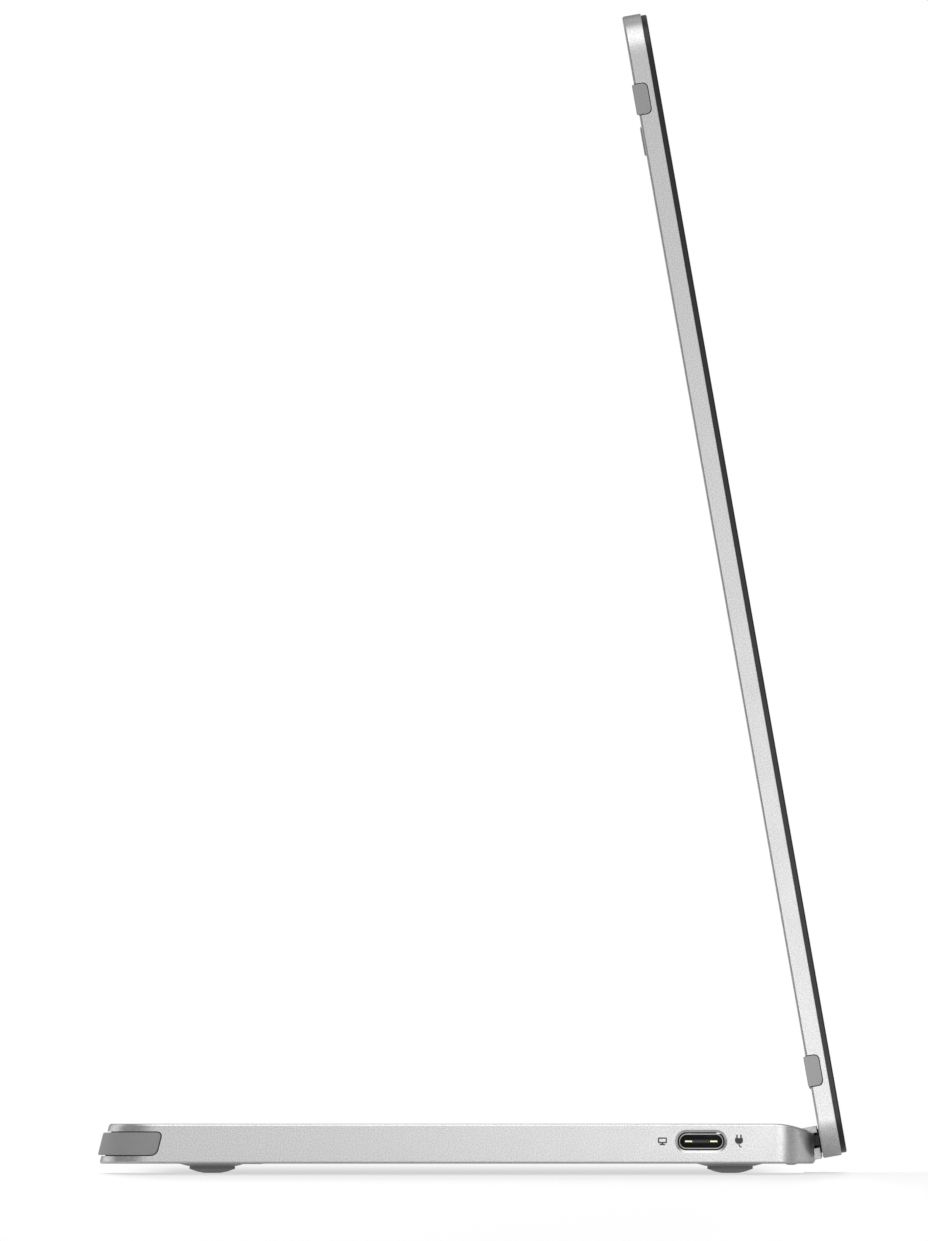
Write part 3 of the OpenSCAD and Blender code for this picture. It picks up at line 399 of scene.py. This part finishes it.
def buildBaseCasing():
    low, high = (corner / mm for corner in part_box("base_shell"))
    port = Vector([(a + b) / 2 / mm for a, b in zip(*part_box("usb_c_socket_left"))])
    centre = Vector((0, (low.y + high.y) / 2, 0))
    rimDepth = baseSet["rimDepth"]
    nearest, furthest = baseSet["rimReach"]

    def slopeRims(casing):
        # the flat ledge round each socket becomes a slope
        for side in (-1, 1):
            def ledge(at):
                off = abs(at.y - port.y)
                reach = math.hypot(max(off - baseSet["rimHalf"], 0), at.z - port.z)
                sunk = abs(at.x - side * (high.x - rimDepth)) < 0.02
                return sunk and nearest < reach < furthest and off < baseSet["rimSpan"]

            nudge(casing, (side * rimDepth, 0, 0), ledge)

    casing = copyOfNode("base_shell", "baseCasing", slopeRims)

    def grooveCorner(middle, turn, run, normals):
        beside = abs(run.x) > 0.9 and abs(middle.x) > high.x - 1
        return turn < 0 and beside and middle.y > baseSet["grooveStart"]

    def topEdge(middle, turn, run, normals):
        rise = sorted(normal.z for normal in normals)
        byWell = middle.z > high.z - baseSet["wellDepth"] and middle.y < low.y + baseSet["wellReach"]
        upper = middle.z > high.z - 0.1 or byWell
        return turn > 40 and rise[1] > 0.6 and rise[0] < 0.5 and upper

    def outerTop(middle, turn, run, normals):
        outer = abs(middle.x) > high.x - baseSet["outerReach"] or middle.y > 0
        return outer and topEdge(middle, turn, run, normals)

    def bottomEdge(middle, turn, run, normals):
        rise = sorted(normal.z for normal in normals)
        return (turn > 40 and rise[0] < -0.6 and rise[1] > -0.5 and middle.z < low.z + 0.1
                and outsideOf(middle, normals, centre))

    bevel(casing, baseSet["edgeBreak"], 2, outerTop)
    bevel(casing, baseSet["edgeBreak"], 2, bottomEdge)
    bevel(casing, baseSet["grooveCorner"], 5, grooveCorner, clamp=True)
    bevel(casing, baseSet["wellBreak"], 2, topEdge)
    # the strip's groove and the sockets' recesses get a painted shade
    finishPiece(casing, "base", "anodised_aluminium", ["base_shell"], smooth=20, shadedRecesses=[
        "rear_rubber_strip", "usb_c_socket_left", "usb_c_socket_right"])


buildBaseCasing()
print("base casing done")

# display casing

displaySet = {
    "cornerRadius": 8.5,  # mm, seen from the front
    "edgeBreak": 0.42,
    "seamBreak": 0.1,
    "padCorner": 1.1,  # corners of the pads' recesses
    "padEnd": 174.7,  # from the middle, where those on the back end
    "frameRound": 0.3,
    "glassRound": 0.15,
}


def edgeInset(middle, low, high):
    # how far a point lies inside the display's rounded outline, in mm
    radius = displaySet["cornerRadius"]
    across = high.x - abs(middle.x)
    up = min(middle.z - low.z, high.z - middle.z)
    if across < radius and up < radius:
        return radius - math.hypot(radius - across, radius - up)
    return min(across, up)


def displayBox(nodeName):
    corners = [toDisplay @ vertex.co / mm for vertex in nodes[nodeName].data.vertices]
    return [Vector([pick(corner[axis] for corner in corners) for axis in range(3)])
            for pick in (min, max)]


def buildDisplayCasing():
    cover = copyOfNode("display_back_cover", "displayBackCover")
    low, high = displayBox("display_back_cover")
    pad = displayBox("edge_pads_upper")

    def recessCorner(middle, turn, run, normals):
        beside = abs(run.x) > 0.9 and abs(middle.x) > high.x - 0.6 and middle.y < pad[0].y + 0.3
        behind = abs(run.y) > 0.9 and abs(abs(middle.x) - displaySet["padEnd"]) < 0.2
        return turn < 0 and (beside or behind) and middle.y > low.y + 0.3

    def backEdge(middle, turn, run, normals):
        back = max(normal.y for normal in normals)
        return turn > 40 and back > 0.7 and edgeInset(middle, low, high) < 0.05

    def seamEdge(middle, turn, run, normals):
        front = min(normal.y for normal in normals)
        return turn > 40 and front < -0.7 and edgeInset(middle, low, high) < 0.05

    bevel(cover, displaySet["edgeBreak"], 2, backEdge, toDisplay)
    bevel(cover, displaySet["seamBreak"], 1, seamEdge, toDisplay)
    bevel(cover, displaySet["padCorner"], 5, recessCorner, toDisplay, clamp=True)
    # the pads' recesses get a painted shade
    finishPiece(cover, "display", "anodised_aluminium", ["display_back_cover"], smooth=20,
                shadedRecesses=["edge_pads_upper", "edge_pads_lower"])

    rim = copyOfNode("front_bezel", "frontFrame")
    low, high = displayBox("front_bezel")

    def frontEdge(middle, turn, run, normals):
        front = min(normal.y for normal in normals)
        return turn > 40 and front < -0.7 and middle.y < low.y + 0.05

    bevel(rim, displaySet["frameRound"], 3, frontEdge, toDisplay)
    finishPiece(rim, "display", "black_plastic", ["front_bezel"])

    glass = copyOfNode("cover_glass", "coverGlass")
    low, high = displayBox("cover_glass")
    bevel(glass, displaySet["glassRound"], 2, frontEdge, toDisplay)
    finishPiece(glass, "display", "screen_glass", ["cover_glass"])


buildDisplayCasing()
print("display casing done")

# the hinge's cover and its two arms

hingeSet = {
    "coverRound": 0.3,  # mm, long edges of the cover
    "coverEnd": 0.12,
    "armRound": 0.2,
    "skinLow": -1.5,  # from the axis along the display, the cover's outside is below this
    "skinRise": 0.6,  # from its lowest edge
}


def buildHinge():
    cover = copyOfNode("hinge_cover", "hingeCover")
    low, high = displayBox("hinge_cover")

    def longEdge(middle, turn, run, normals):
        along = abs(run.x) > 0.9 and middle.z < hingeSet["skinLow"]
        behind = middle.z > low.z + hingeSet["skinRise"] and middle.y > -0.3
        skin = middle.z < low.z + 0.05 or behind
        return turn > 20 and along and skin

    def endEdge(middle, turn, run, normals):
        across = max(abs(normal.x) for normal in normals) > 0.9
        return turn > 40 and across and abs(middle.x) > high.x - 0.05

    bevel(cover, hingeSet["coverRound"], 3, longEdge, toDisplay)
    bevel(cover, hingeSet["coverEnd"], 1, endEdge, toDisplay)
    finishPiece(cover, "display", "anodised_aluminium", ["hinge_cover"])

    def armEdge(middle, turn, run, normals):
        return turn > 60

    for side in ("left", "right"):
        arm = copyOfNode("hinge_arm_" + side, side + "HingeArm")
        bevel(arm, hingeSet["armRound"], 2, armEdge, toDisplay)
        finishPiece(arm, "display", "hinge_steel", ["hinge_arm_" + side])


buildHinge()
print("hinge done")

# rubber strip and pads

rubberSet = {
    "stripCorner": 1.0,  # mm, seen from the side
    "stripRound": 0.3,
    "stripBack": 1.95,  # from its rearmost line, holds the edges of the sloped back
    "padCorner": 1.0,
    "padRound": 0.25,
    "padGap": 0.07,  # taken off each end for a groove that shows
    "padWrap": 3.5,  # from the sides, the pads' ends on the back lie further in than this
}


def buildRubber():
    strip = copyOfNode("rear_rubber_strip", "rearStrip")
    low, high = (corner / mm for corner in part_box("rear_rubber_strip"))

    def endCorner(middle, turn, run, normals):
        return turn > 0 and abs(run.x) > 0.9 and abs(middle.x) > high.x - 2 and middle.y < low.y + 2

    def outerEdge(middle, turn, run, normals):
        level = min(normals, key=lambda normal: abs(normal.z))
        beside = abs(middle.x) > high.x - 0.01
        behind = middle.y > high.y - rubberSet["stripBack"] and level.y > 0.3
        return turn > 60 and (beside or behind)

    bevel(strip, rubberSet["stripCorner"], 5, endCorner, clamp=True)
    bevel(strip, rubberSet["stripRound"], 3, outerEdge)
    # the strip gets the darker copy of the rubber: painted shade
    finishPiece(strip, "base", "grey_rubber", ["rear_rubber_strip"], shadedStripRubber)

    for level in ("upper", "lower"):
        pads = copyOfNode("edge_pads_" + level, level + "EdgePads")
        low, high = displayBox("edge_pads_" + level)

        def padCorner(middle, turn, run, normals):
            beside = abs(run.x) > 0.9 and middle.y < low.y + 0.1
            behind = abs(run.y) > 0.9 and abs(middle.x) < high.x - rubberSet["padWrap"]
            return turn > 0 and (beside or behind)

        def padEdge(middle, turn, run, normals):
            outside = abs(middle.x) > high.x - 0.01
            back = middle.y > high.y - 0.01
            return turn > 40 and (outside or back)

        centre = (low + high) / 2
        turned = onDisplay.to_3x3()
        gap = rubberSet["padGap"]
        nudge(pads, turned @ Vector((0, 0, gap)), lambda at: at.z < centre.z, toDisplay)
        nudge(pads, turned @ Vector((0, 0, -gap)), lambda at: at.z > centre.z, toDisplay)
        nudge(pads, turned @ Vector((0, gap, 0)), lambda at: at.y < low.y + 0.1, toDisplay)
        bevel(pads, rubberSet["padCorner"], 4, padCorner, toDisplay, clamp=True)
        bevel(pads, rubberSet["padRound"], 3, padEdge, toDisplay)
        finishPiece(pads, "display", "grey_rubber", ["edge_pads_" + level])


buildRubber()
print("rubber done")

# sockets

socketSet = {
    "lipRound": 0.13,  # mm, both edges of the shell's mouth
    "contacts": (1.8, 3.2),  # mm from the middle, along the tongue's front
    "contactHigh": 0.28,
    "contactProud": 0.02,
}


def buildSockets():
    for side in ("left", "right"):
        shellNode, tongueNode = "usb_c_socket_" + side, "usb_c_tongue_" + side
        low, high = (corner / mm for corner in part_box(shellNode))
        outward = math.copysign(1, low.x)
        mouth = max(low.x, high.x, key=abs)
        shell = copyOfNode(shellNode, side + "SocketShell")

        def lip(middle, turn, run, normals):
            return turn > 60 and abs(middle.x - mouth) < 0.05

        bevel(shell, socketSet["lipRound"], 2, lip)
        finishPiece(shell, "base", "socket_steel", [shellNode])

        # the tongue's front is cut into its contacts and the strip between them
        tongue = copyOfNode(tongueNode, side + "SocketTongue")
        low, high = (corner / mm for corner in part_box(tongueNode))
        middle = (low + high) / 2
        front = max(low.x, high.x, key=abs)
        near, far = socketSet["contacts"]
        halfHigh = socketSet["contactHigh"] / 2
        work(tongue)
        bpy.ops.object.mode_set(mode="EDIT")
        cuts = [((0, middle.y + off, 0), (0, 1, 0)) for off in (-far, -near, near, far)]
        cuts += [((0, 0, middle.z + off), (0, 0, 1)) for off in (-halfHigh, halfHigh)]
        for place, across in cuts:
            bpy.ops.mesh.select_all(action="SELECT")
            bpy.ops.mesh.bisect(plane_co=Vector(place) * mm, plane_no=across)
        bpy.ops.mesh.select_mode(type="FACE")
        bpy.ops.mesh.select_all(action="DESELECT")
        edit = bmesh.from_edit_mesh(tongue.data)
        for face in edit.faces:
            at = face.calc_center_median() / mm - middle
            if abs(face.normal.x) > 0.9 and abs(at.x + middle.x - front) < 0.01:
                if abs(at.z) < halfHigh and abs(at.y) < far:
                    face.select = True
                    face.material_index = 1 if abs(at.y) > near else 2
        bmesh.update_edit_mesh(tongue.data)
        bpy.ops.mesh.extrude_region_move(TRANSFORM_OT_translate={
            "value": (outward * socketSet["contactProud"] * mm, 0, 0)})
        bpy.ops.object.mode_set(mode="OBJECT")
        finishPiece(tongue, "base", "tongue_plastic", [tongueNode])
        tongue.data.materials.append(paleGold)
        tongue.data.materials.append(finish["hinge_steel"])


buildSockets()
print("sockets done")

# buttons

buttonSet = {
    "faceRound": 0.18,  # mm
}


def buildButtons():
    for name in ("power", "dimmer", "brighter"):
        node = name + "_button"
        button = copyOfNode(node, name + "Button")
        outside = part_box(node)[1].x / mm

        def faceEdge(middle, turn, run, normals):
            return turn > 40 and middle.x > outside - 0.02

        bevel(button, buttonSet["faceRound"], 3, faceEdge)
        finishPiece(button, node, "anodised_aluminium", [node])


buildButtons()
print("buttons done")

# screws that show

screwSet = {
    "driveRadius": 0.72,  # mm, six-lobed recess in the middle of each head
    "lobe": 0.13,  # share of that radius
    "driveDepth": 0.35,
    "shankEnd": 5,  # above this only the ends of the shanks lie, one for each screw
    "spacing": 8,  # screws are further apart than this
}


def driveCutter(centre, size):
    # a six-lobed plug, to be taken out of the head
    bpy.ops.object.select_all(action="DESELECT")
    radius = screwSet["driveRadius"] * size
    depth = screwSet["driveDepth"] * 2
    bpy.ops.mesh.primitive_cylinder_add(vertices=48, radius=radius * mm, depth=depth * mm)
    cutter = bpy.context.object
    for vertex in cutter.data.vertices:
        turn = math.atan2(vertex.co.y, vertex.co.x)
        grow = 1 + screwSet["lobe"] * math.cos(6 * turn)
        vertex.co.x *= grow
        vertex.co.y *= grow
    cutter.data.transform(Matrix.Translation(centre * mm))
    return cutter


def buildScrews():
    spacing = screwSet["spacing"]
    for node, name, size in (("plate_screws", "plateScrews", 1), ("domed_screws", "domedScrews", 0.8)):
        screws = copyOfNode(node, name)
        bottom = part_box(node)[0].z / mm
        heads = {}
        for vertex in screws.data.vertices:
            at = vertex.co / mm
            if at.z > screwSet["shankEnd"]:  # the shank's end tells each screw's axis
                heads.setdefault((round(at.x / spacing), round(at.y / spacing)), []).append(at)
        cutters = []
        for ends in heads.values():
            axis = sum(ends, Vector()) / len(ends)
            cutters.append(driveCutter(Vector((axis.x, axis.y, bottom)), size))
        bpy.ops.object.select_all(action="DESELECT")
        for cutter in cutters:
            cutter.select_set(True)
        bpy.context.view_layer.objects.active = cutters[0]
        bpy.ops.object.join()
        work(screws)
        drive = screws.modifiers.new("drive", "BOOLEAN")
        drive.operation = "DIFFERENCE"
        drive.solver = "EXACT"
        drive.object = cutters[0]
        bpy.ops.object.modifier_apply(modifier="drive")
        bpy.data.objects.remove(cutters[0])
        print("  ", screws.name, len(heads), "heads")
        finishPiece(screws, "base", "screw_steel", [node])


buildScrews()
print("screws done")

# printed marks

markSet = {
    "thick": 0.012,  # mm, the ink's height
    "sunk": 0.004,
    "stroke": 0.26,
    "screenOff": 7.7,  # behind the socket's middle
    "plugOff": -7.53,
    "plusOff": 1.8,  # behind the last button
    "signLong": 1.3,  # minus and plus
    "signWide": 0.22,
    "ring": 0.72,  # radius of the power mark
}


def inkBar(width, height, at, corner=0.0):
    bpy.ops.object.select_all(action="DESELECT")
    bpy.ops.mesh.primitive_plane_add(size=mm, location=(at[0] * mm, at[1] * mm, 0))
    bar = bpy.context.object
    bar.scale = (width, height, 1)
    bpy.ops.object.transform_apply(location=True, rotation=True, scale=True)
    if corner:
        bpy.ops.object.mode_set(mode="EDIT")
        bpy.ops.mesh.select_mode(type="VERT")
        bpy.ops.mesh.select_all(action="SELECT")
        bpy.ops.mesh.bevel(offset=corner * mm, segments=4, affect="VERTICES")
        bpy.ops.object.mode_set(mode="OBJECT")
    return bar


def printMark(name, parts, side, place):
    # joins the parts, thickens them to a film of ink and sets it on the base's side
    bpy.ops.object.select_all(action="DESELECT")
    for part in parts:
        part.select_set(True)
    mark = parts[0]
    bpy.context.view_layer.objects.active = mark
    if len(parts) > 1:
        bpy.ops.object.join()
    mark.name = mark.data.name = name
    film = mark.modifiers.new("film", "SOLIDIFY")
    film.thickness = (markSet["thick"] + markSet["sunk"]) * mm
    film.offset = 1
    work(mark)
    bpy.ops.object.modifier_apply(modifier="film")
    on = Matrix(((0, 0, side, side * (halfWidth - markSet["sunk"] * mm)), (side, 0, 0, place[0] * mm),
                 (0, 1, 0, place[1] * mm), (0, 0, 0, 1)))
    mark.data.transform(on)
    mark.data.materials.append(printedInk)
    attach(mark, "base")


def screenMark():
    stroke = markSet["stroke"]
    screen = inkBar(1.8, 1.15, (0, 0.2), 0.2)
    bpy.ops.object.mode_set(mode="EDIT")
    bpy.ops.mesh.select_all(action="SELECT")
    bpy.ops.mesh.inset(thickness=stroke * mm)
    bpy.ops.mesh.delete(type="FACE")
    bpy.ops.object.mode_set(mode="OBJECT")
    return [screen, inkBar(0.4, 0.15, (0, -0.44)), inkBar(1.1, stroke, (0, -0.645))]


def plugMark():
    body = inkBar(1.6, 1.15, (0, 0.08))
    bpy.ops.object.mode_set(mode="EDIT")
    bpy.ops.mesh.select_mode(type="VERT")
    for upper, corner in ((True, 0.12), (False, 0.6)):
        edit = bmesh.from_edit_mesh(body.data)
        for vertex in edit.verts:
            vertex.select = (vertex.co.y > 0) == upper
        edit.select_flush_mode()
        bmesh.update_edit_mesh(body.data)
        bpy.ops.mesh.bevel(offset=corner * mm, segments=6, affect="VERTICES")
    bpy.ops.object.mode_set(mode="OBJECT")
    # the cord leaves below and bends away
    cord = inkBar(0.24, 0.06, (0, -0.52))
    bpy.ops.object.mode_set(mode="EDIT")
    bpy.ops.mesh.select_mode(type="EDGE")
    bpy.ops.mesh.select_all(action="DESELECT")
    edit = bmesh.from_edit_mesh(cord.data)
    for edge in edit.edges:
        edge.select = all(vertex.co.y < -0.54 * mm for vertex in edge.verts)
    bmesh.update_edit_mesh(cord.data)
    bpy.ops.mesh.spin(steps=10, angle=math.radians(-85), center=(0.62 * mm, -0.55 * mm, 0),
                      axis=(0, 0, 1))
    bpy.ops.object.mode_set(mode="OBJECT")
    return [body, cord, inkBar(0.3, 0.7, (-0.4, 0.99)), inkBar(0.3, 0.7, (0.4, 0.99))]


def powerMark():
    bpy.ops.object.select_all(action="DESELECT")
    bpy.ops.mesh.primitive_circle_add(vertices=40, radius=markSet["ring"] * mm, fill_type="NGON")
    ring = bpy.context.object
    bpy.ops.object.mode_set(mode="EDIT")
    bpy.ops.mesh.select_all(action="SELECT")
    bpy.ops.mesh.inset(thickness=markSet["stroke"] * mm)
    bpy.ops.mesh.delete(type="FACE")
    bpy.ops.mesh.select_mode(type="FACE")
    edit = bmesh.from_edit_mesh(ring.data)
    for face in edit.faces:
        at = face.calc_center_median() / mm
        face.select = at.y > 0 and abs(at.x) < 0.28
    bmesh.update_edit_mesh(ring.data)
    bpy.ops.mesh.delete(type="FACE")
    bpy.ops.object.mode_set(mode="OBJECT")
    return [ring, inkBar(markSet["stroke"], 0.75, (0, 0.45))]


def minusMark():
    return [inkBar(markSet["signLong"], markSet["signWide"], (0, 0), 0.05)]


def plusMark():
    # the upright is two halves that stop at the level bar
    return minusMark() + [inkBar(markSet["signWide"], 0.54, (0, up)) for up in (-0.38, 0.38)]


def buildMarks():
    port = [(a + b) / 2 / mm for a, b in zip(*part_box("usb_c_socket_left"))]
    level = port[2]
    printMark("leftScreenMark", screenMark(), -1, (port[1] + markSet["screenOff"], level))
    printMark("leftPlugMark", plugMark(), -1, (port[1] + markSet["plugOff"], level))
    printMark("rightScreenMark", screenMark(), 1, (port[1] + markSet["screenOff"], level))
    power, dimmer, brighter = (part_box(name + "_button") for name in ("power", "dimmer", "brighter"))
    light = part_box("power_light_pipe")
    printMark("powerMark", powerMark(), 1, ((light[1].y + power[0].y) / 2 / mm, level))
    printMark("minusMark", minusMark(), 1, ((power[1].y + dimmer[0].y) / 2 / mm, level))
    printMark("plusMark", plusMark(), 1, (brighter[1].y / mm + markSet["plusOff"], level))


buildMarks()
print("marks done")

# CAD nodes that keep their shape

kept = {
    "painted_steel": ["bottom_plate"],
    "dark_rubber": ["rubber_feet"],
    "hinge_steel": ["hinge_bracket_left", "hinge_bracket_right", "hinge_shaft_left",
                    "hinge_shaft_right", "friction_washers", "hinge_nuts"],
    "screw_steel": ["bracket_screws", "board_screws", "hinge_cover_screws", "arm_screws"],
    "sheet_steel": ["shield_can", "panel_tray"],
    "circuit_board": ["main_board", "port_board", "driver_board"],
    "chip_plastic": ["board_chips", "driver_chips", "tact_switches"],
    "connector_plastic": ["lead_connector", "ribbon_connectors"],
    "flex_film": ["board_ribbon", "panel_flexes"],
    "lead_jacket": ["base_lead", "display_lead"],
    "clear_acrylic": ["power_light_pipe", "light_guide"],
    "panel_glass": ["lcd_panel"],
    "white_film": ["optical_sheets", "reflector_sheet"],
    "black_plastic": ["panel_tapes"],
    "led_yellow": ["led_strip"],
}
for slot, names in kept.items():
    for name in names:
        nodes[name].data.materials.clear()
        nodes[name].data.materials.append(finish[slot])
print("kept nodes finished:", sum(len(names) for names in kept.values()))

# studio

studioSet = {
    "surround": 0.3,  # what reflections and soft light see where no patch of light is
    # direction, half angle of its bright middle and of its outer edge in degrees, strength
    "patches": [
        ((-1, 0, 0), 12, 36, 0.36),
        ((-0.87, 0, 0.5), 4, 30, 0.4),
        ((-0.438, 0, 0.899), 6, 40, 1.45),
        ((0.5, 0.8, 0.35), 8, 32, 0.75),
        ((0, -1, 0), 14, 40, 0.4),
    ],
    # place, aim, size in m, power in W, and whether the object mirrors it
    "lamps": {
        # between camera and hinge: the sides are brightest there
        "nearSoftbox": ((-0.8, -0.16, -0.085), (-0.178, -0.16, -0.085), (0.25, 0.43), 0.46, True),
        # the floor's shadow falls towards the camera
        "farSoftbox": ((0.75, 0.2, 0.75), (0, 0, 0), (1.8, 0.55), 17, False),
        "topSoftbox": ((0.3, -0.3, 1.1), (0, 0, 0.05), (1.2, 0.9), 0.9, True),
    },
}


def seenPlainly(tree):
    # 1 for what the camera sees, straight or through glass
    path = addNode(tree, "LightPath").outputs
    return addNode(tree, "Math", {0: path["Is Camera Ray"], 1: path["Is Transmission Ray"]},
                   operation="MAXIMUM").outputs[0]


def addWorld():
    world = bpy.data.worlds.new("studio")
    scene.world = world
    world.use_nodes = True
    tree = world.node_tree
    way = addNode(tree, "TexCoord").outputs["Generated"]
    light = studioSet["surround"]
    for aim, inner, outer, strength in studioSet["patches"]:
        facing = addNode(tree, "VectorMath", {0: way, 1: Vector(aim).normalized()},
                         operation="DOT_PRODUCT")
        patch = addNode(tree, "MapRange", {
            "Value": facing.outputs["Value"], "From Min": math.cos(math.radians(outer)),
            "From Max": math.cos(math.radians(inner)), "To Max": strength},
            interpolation_type="SMOOTHSTEP")
        light = addNode(tree, "Math", {0: light, 1: patch.outputs["Result"]},
                        operation="ADD").outputs[0]
    # the camera, and what glass lets through, see plain white
    strength = addNode(tree, "Mix", {0: seenPlainly(tree), 2: light, 3: 1.0}, data_type="FLOAT")
    background = tree.nodes["Background"]
    background.inputs["Color"].default_value = (1, 1, 1, 1)
    tree.links.new(strength.outputs[0], background.inputs["Strength"])


def addLamp(name, place, aim, size, power, mirrored):
    lamp = bpy.data.lights.new(name, "AREA")
    lamp.shape = "RECTANGLE"
    lamp.size, lamp.size_y = size
    lamp.energy = power
    holder = bpy.data.objects.new(name, lamp)
    scene.collection.objects.link(holder)
    holder.location = place
    holder.rotation_euler = (Vector(aim) - Vector(place)).to_track_quat("-Z", "Y").to_euler()
    holder.visible_camera = False
    holder.visible_glossy = mirrored


floorSet = {
    "back": 6000,  # mm, its far edge and its half width
    "halfWide": 6000,
    "flat": 400,  # one broad strip from the far edge to here
    "roll": 250,  # radius of the floor's rolled front edge
    "rollStart": -162,  # just in front of the near feet
    "rollSteps": 70,
    "rollStep": 4,
    "shade": 0.6,  # what the floor keeps of its white in full shadow
    "level": 0.3,  # how it lights and mirrors in the object
    "fill": (0.26, 0.8),  # glow, by the object and further in front
    "fillSpan": (-178, -222),  # mm
    "near": 190,  # mm from the middle, where its shadows begin to fade out
    "far": 320,
}


def stageMaterial(obj, name):
    material = bpy.data.materials.new(name)
    material.use_nodes = True
    material.node_tree.nodes.clear()
    obj.data.materials.append(material)
    return material.node_tree


def clearFromBelow(tree, shader):
    # from below, the surface isn't there
    under = addNode(tree, "NewGeometry").outputs["Backfacing"]
    hidden = addNode(tree, "BsdfTransparent")
    both = addNode(tree, "MixShader", {0: under, 1: shader.outputs[0], 2: hidden.outputs[0]})
    addNode(tree, "OutputMaterial", {"Surface": both.outputs[0]})


def addFloor():
    # a white table top whose near edge rolls away, so that a level view still shows the shadow
    profile = [(floorSet["back"], 0), (floorSet["flat"], 0)]
    for count in range(floorSet["rollSteps"]):
        ahead = count * floorSet["rollStep"]
        profile.append((floorSet["rollStart"] - ahead, -ahead ** 2 / 2 / floorSet["roll"]))
    points = [(x * mm, side * floorSet["halfWide"] * mm, z * mm)
              for side in (-1, 1) for x, z in profile]
    half = len(profile)
    faces = [(i, half + i, half + i + 1, i + 1) for i in range(half - 1)]
    mesh = bpy.data.meshes.new("floor")
    mesh.from_pydata(points, [], faces)
    floor = bpy.data.objects.new("floor", mesh)
    scene.collection.objects.link(floor)
    work(floor)
    bpy.ops.object.shade_smooth()
    if floor.data.polygons[0].normal.z < 0:
        floor.data.flip_normals()
    tree = stageMaterial(floor, "whiteTable")
    place = addNode(tree, "TexCoord").outputs["Object"]
    distance = addNode(tree, "VectorMath", {0: place}, operation="LENGTH")
    shade = addNode(tree, "MapRange", {
        "Value": distance.outputs["Value"], "From Min": floorSet["near"] * mm,
        "From Max": floorSet["far"] * mm, "To Min": floorSet["shade"], "To Max": 1.0},
        interpolation_type="SMOOTHSTEP").outputs["Result"]
    rest = addNode(tree, "Math", {0: 1.0, 1: shade}, operation="SUBTRACT")
    level = floorSet["level"]
    dim = addNode(tree, "BsdfDiffuse", {"Color": (level, level, level, 1)})
    parts = addNode(tree, "SeparateXYZ", {0: place})
    fill = addNode(tree, "MapRange", {
        "Value": parts.outputs["X"], "From Min": floorSet["fillSpan"][0] * mm,
        "From Max": floorSet["fillSpan"][1] * mm, "To Min": floorSet["fill"][0],
        "To Max": floorSet["fill"][1]})
    faint = addNode(tree, "Emission", {"Color": (1, 1, 1, 1), "Strength": fill.outputs["Result"]})
    lit = addNode(tree, "AddShader", {0: dim.outputs[0], 1: faint.outputs[0]})
    thin = addNode(tree, "BsdfDiffuse", {"Color": rest.outputs[0]})
    glow = addNode(tree, "Emission", {"Color": (1, 1, 1, 1), "Strength": shade})
    white = addNode(tree, "AddShader", {0: thin.outputs[0], 1: glow.outputs[0]})
    looks = addNode(tree, "MixShader", {0: seenPlainly(tree), 1: lit.outputs[0], 2: white.outputs[0]})
    clearFromBelow(tree, looks)


cardSet = {
    "x": (-149, -139),  # mm, between the near feet and the far ones, rising with x
    "y": (-66, 72),
    "height": 1.75,
    "soft": 16,  # over which its ends fade out
    "foot": 0.64,  # its painted shade at the floor
    "top": 0.93,
}


def addCard():
    # a low card under the base, so that the long lens doesn't show the far feet beside the near
    # ones; it glows with a painted shadow in place of the floor's and only the camera sees it
    low, high = cardSet["y"]
    near, far = cardSet["x"]
    corners = [(near, low, 0), (near, high, 0), (far, high, cardSet["height"]),
               (far, low, cardSet["height"])]
    mesh = bpy.data.meshes.new("card")
    mesh.from_pydata([Vector(corner) * mm for corner in corners], [], [(0, 1, 2, 3)])
    if mesh.polygons[0].normal.z < 0:
        mesh.flip_normals()
    card = bpy.data.objects.new("card", mesh)
    scene.collection.objects.link(card)
    tree = stageMaterial(card, "paintedShadowCard")
    parts = addNode(tree, "SeparateXYZ", {0: addNode(tree, "TexCoord").outputs["Object"]})
    # painted shadow: the glow is darkest at the floor, lighter towards the top, and fades to white at the
    # ends
    up = addNode(tree, "MapRange", {
        "Value": parts.outputs["Z"], "From Max": cardSet["height"] * mm,
        "To Min": cardSet["foot"], "To Max": cardSet["top"]}, interpolation_type="SMOOTHSTEP")
    middle = (low + high) / 2
    off = addNode(tree, "Math", {0: parts.outputs["Y"], 1: middle * mm}, operation="SUBTRACT")
    off = addNode(tree, "Math", {0: off.outputs[0]}, operation="ABSOLUTE")
    ends = addNode(tree, "MapRange", {
        "Value": off.outputs[0], "From Min": ((high - low) / 2 - cardSet["soft"]) * mm,
        "From Max": (high - low) / 2 * mm}, interpolation_type="SMOOTHSTEP")
    shade = addNode(tree, "Mix", {0: ends.outputs["Result"], 2: up.outputs["Result"], 3: 1.0},
                    data_type="FLOAT")
    glow = addNode(tree, "Emission", {"Color": (1, 1, 1, 1), "Strength": shade.outputs[0]})
    clearFromBelow(tree, glow)
    for ray in ("diffuse", "glossy", "transmission", "shadow", "volume_scatter"):
        setattr(card, "visible_" + ray, False)


addWorld()
addFloor()
addCard()
for name, values in studioSet["lamps"].items():
    addLamp(name, *values)
print("studio done")
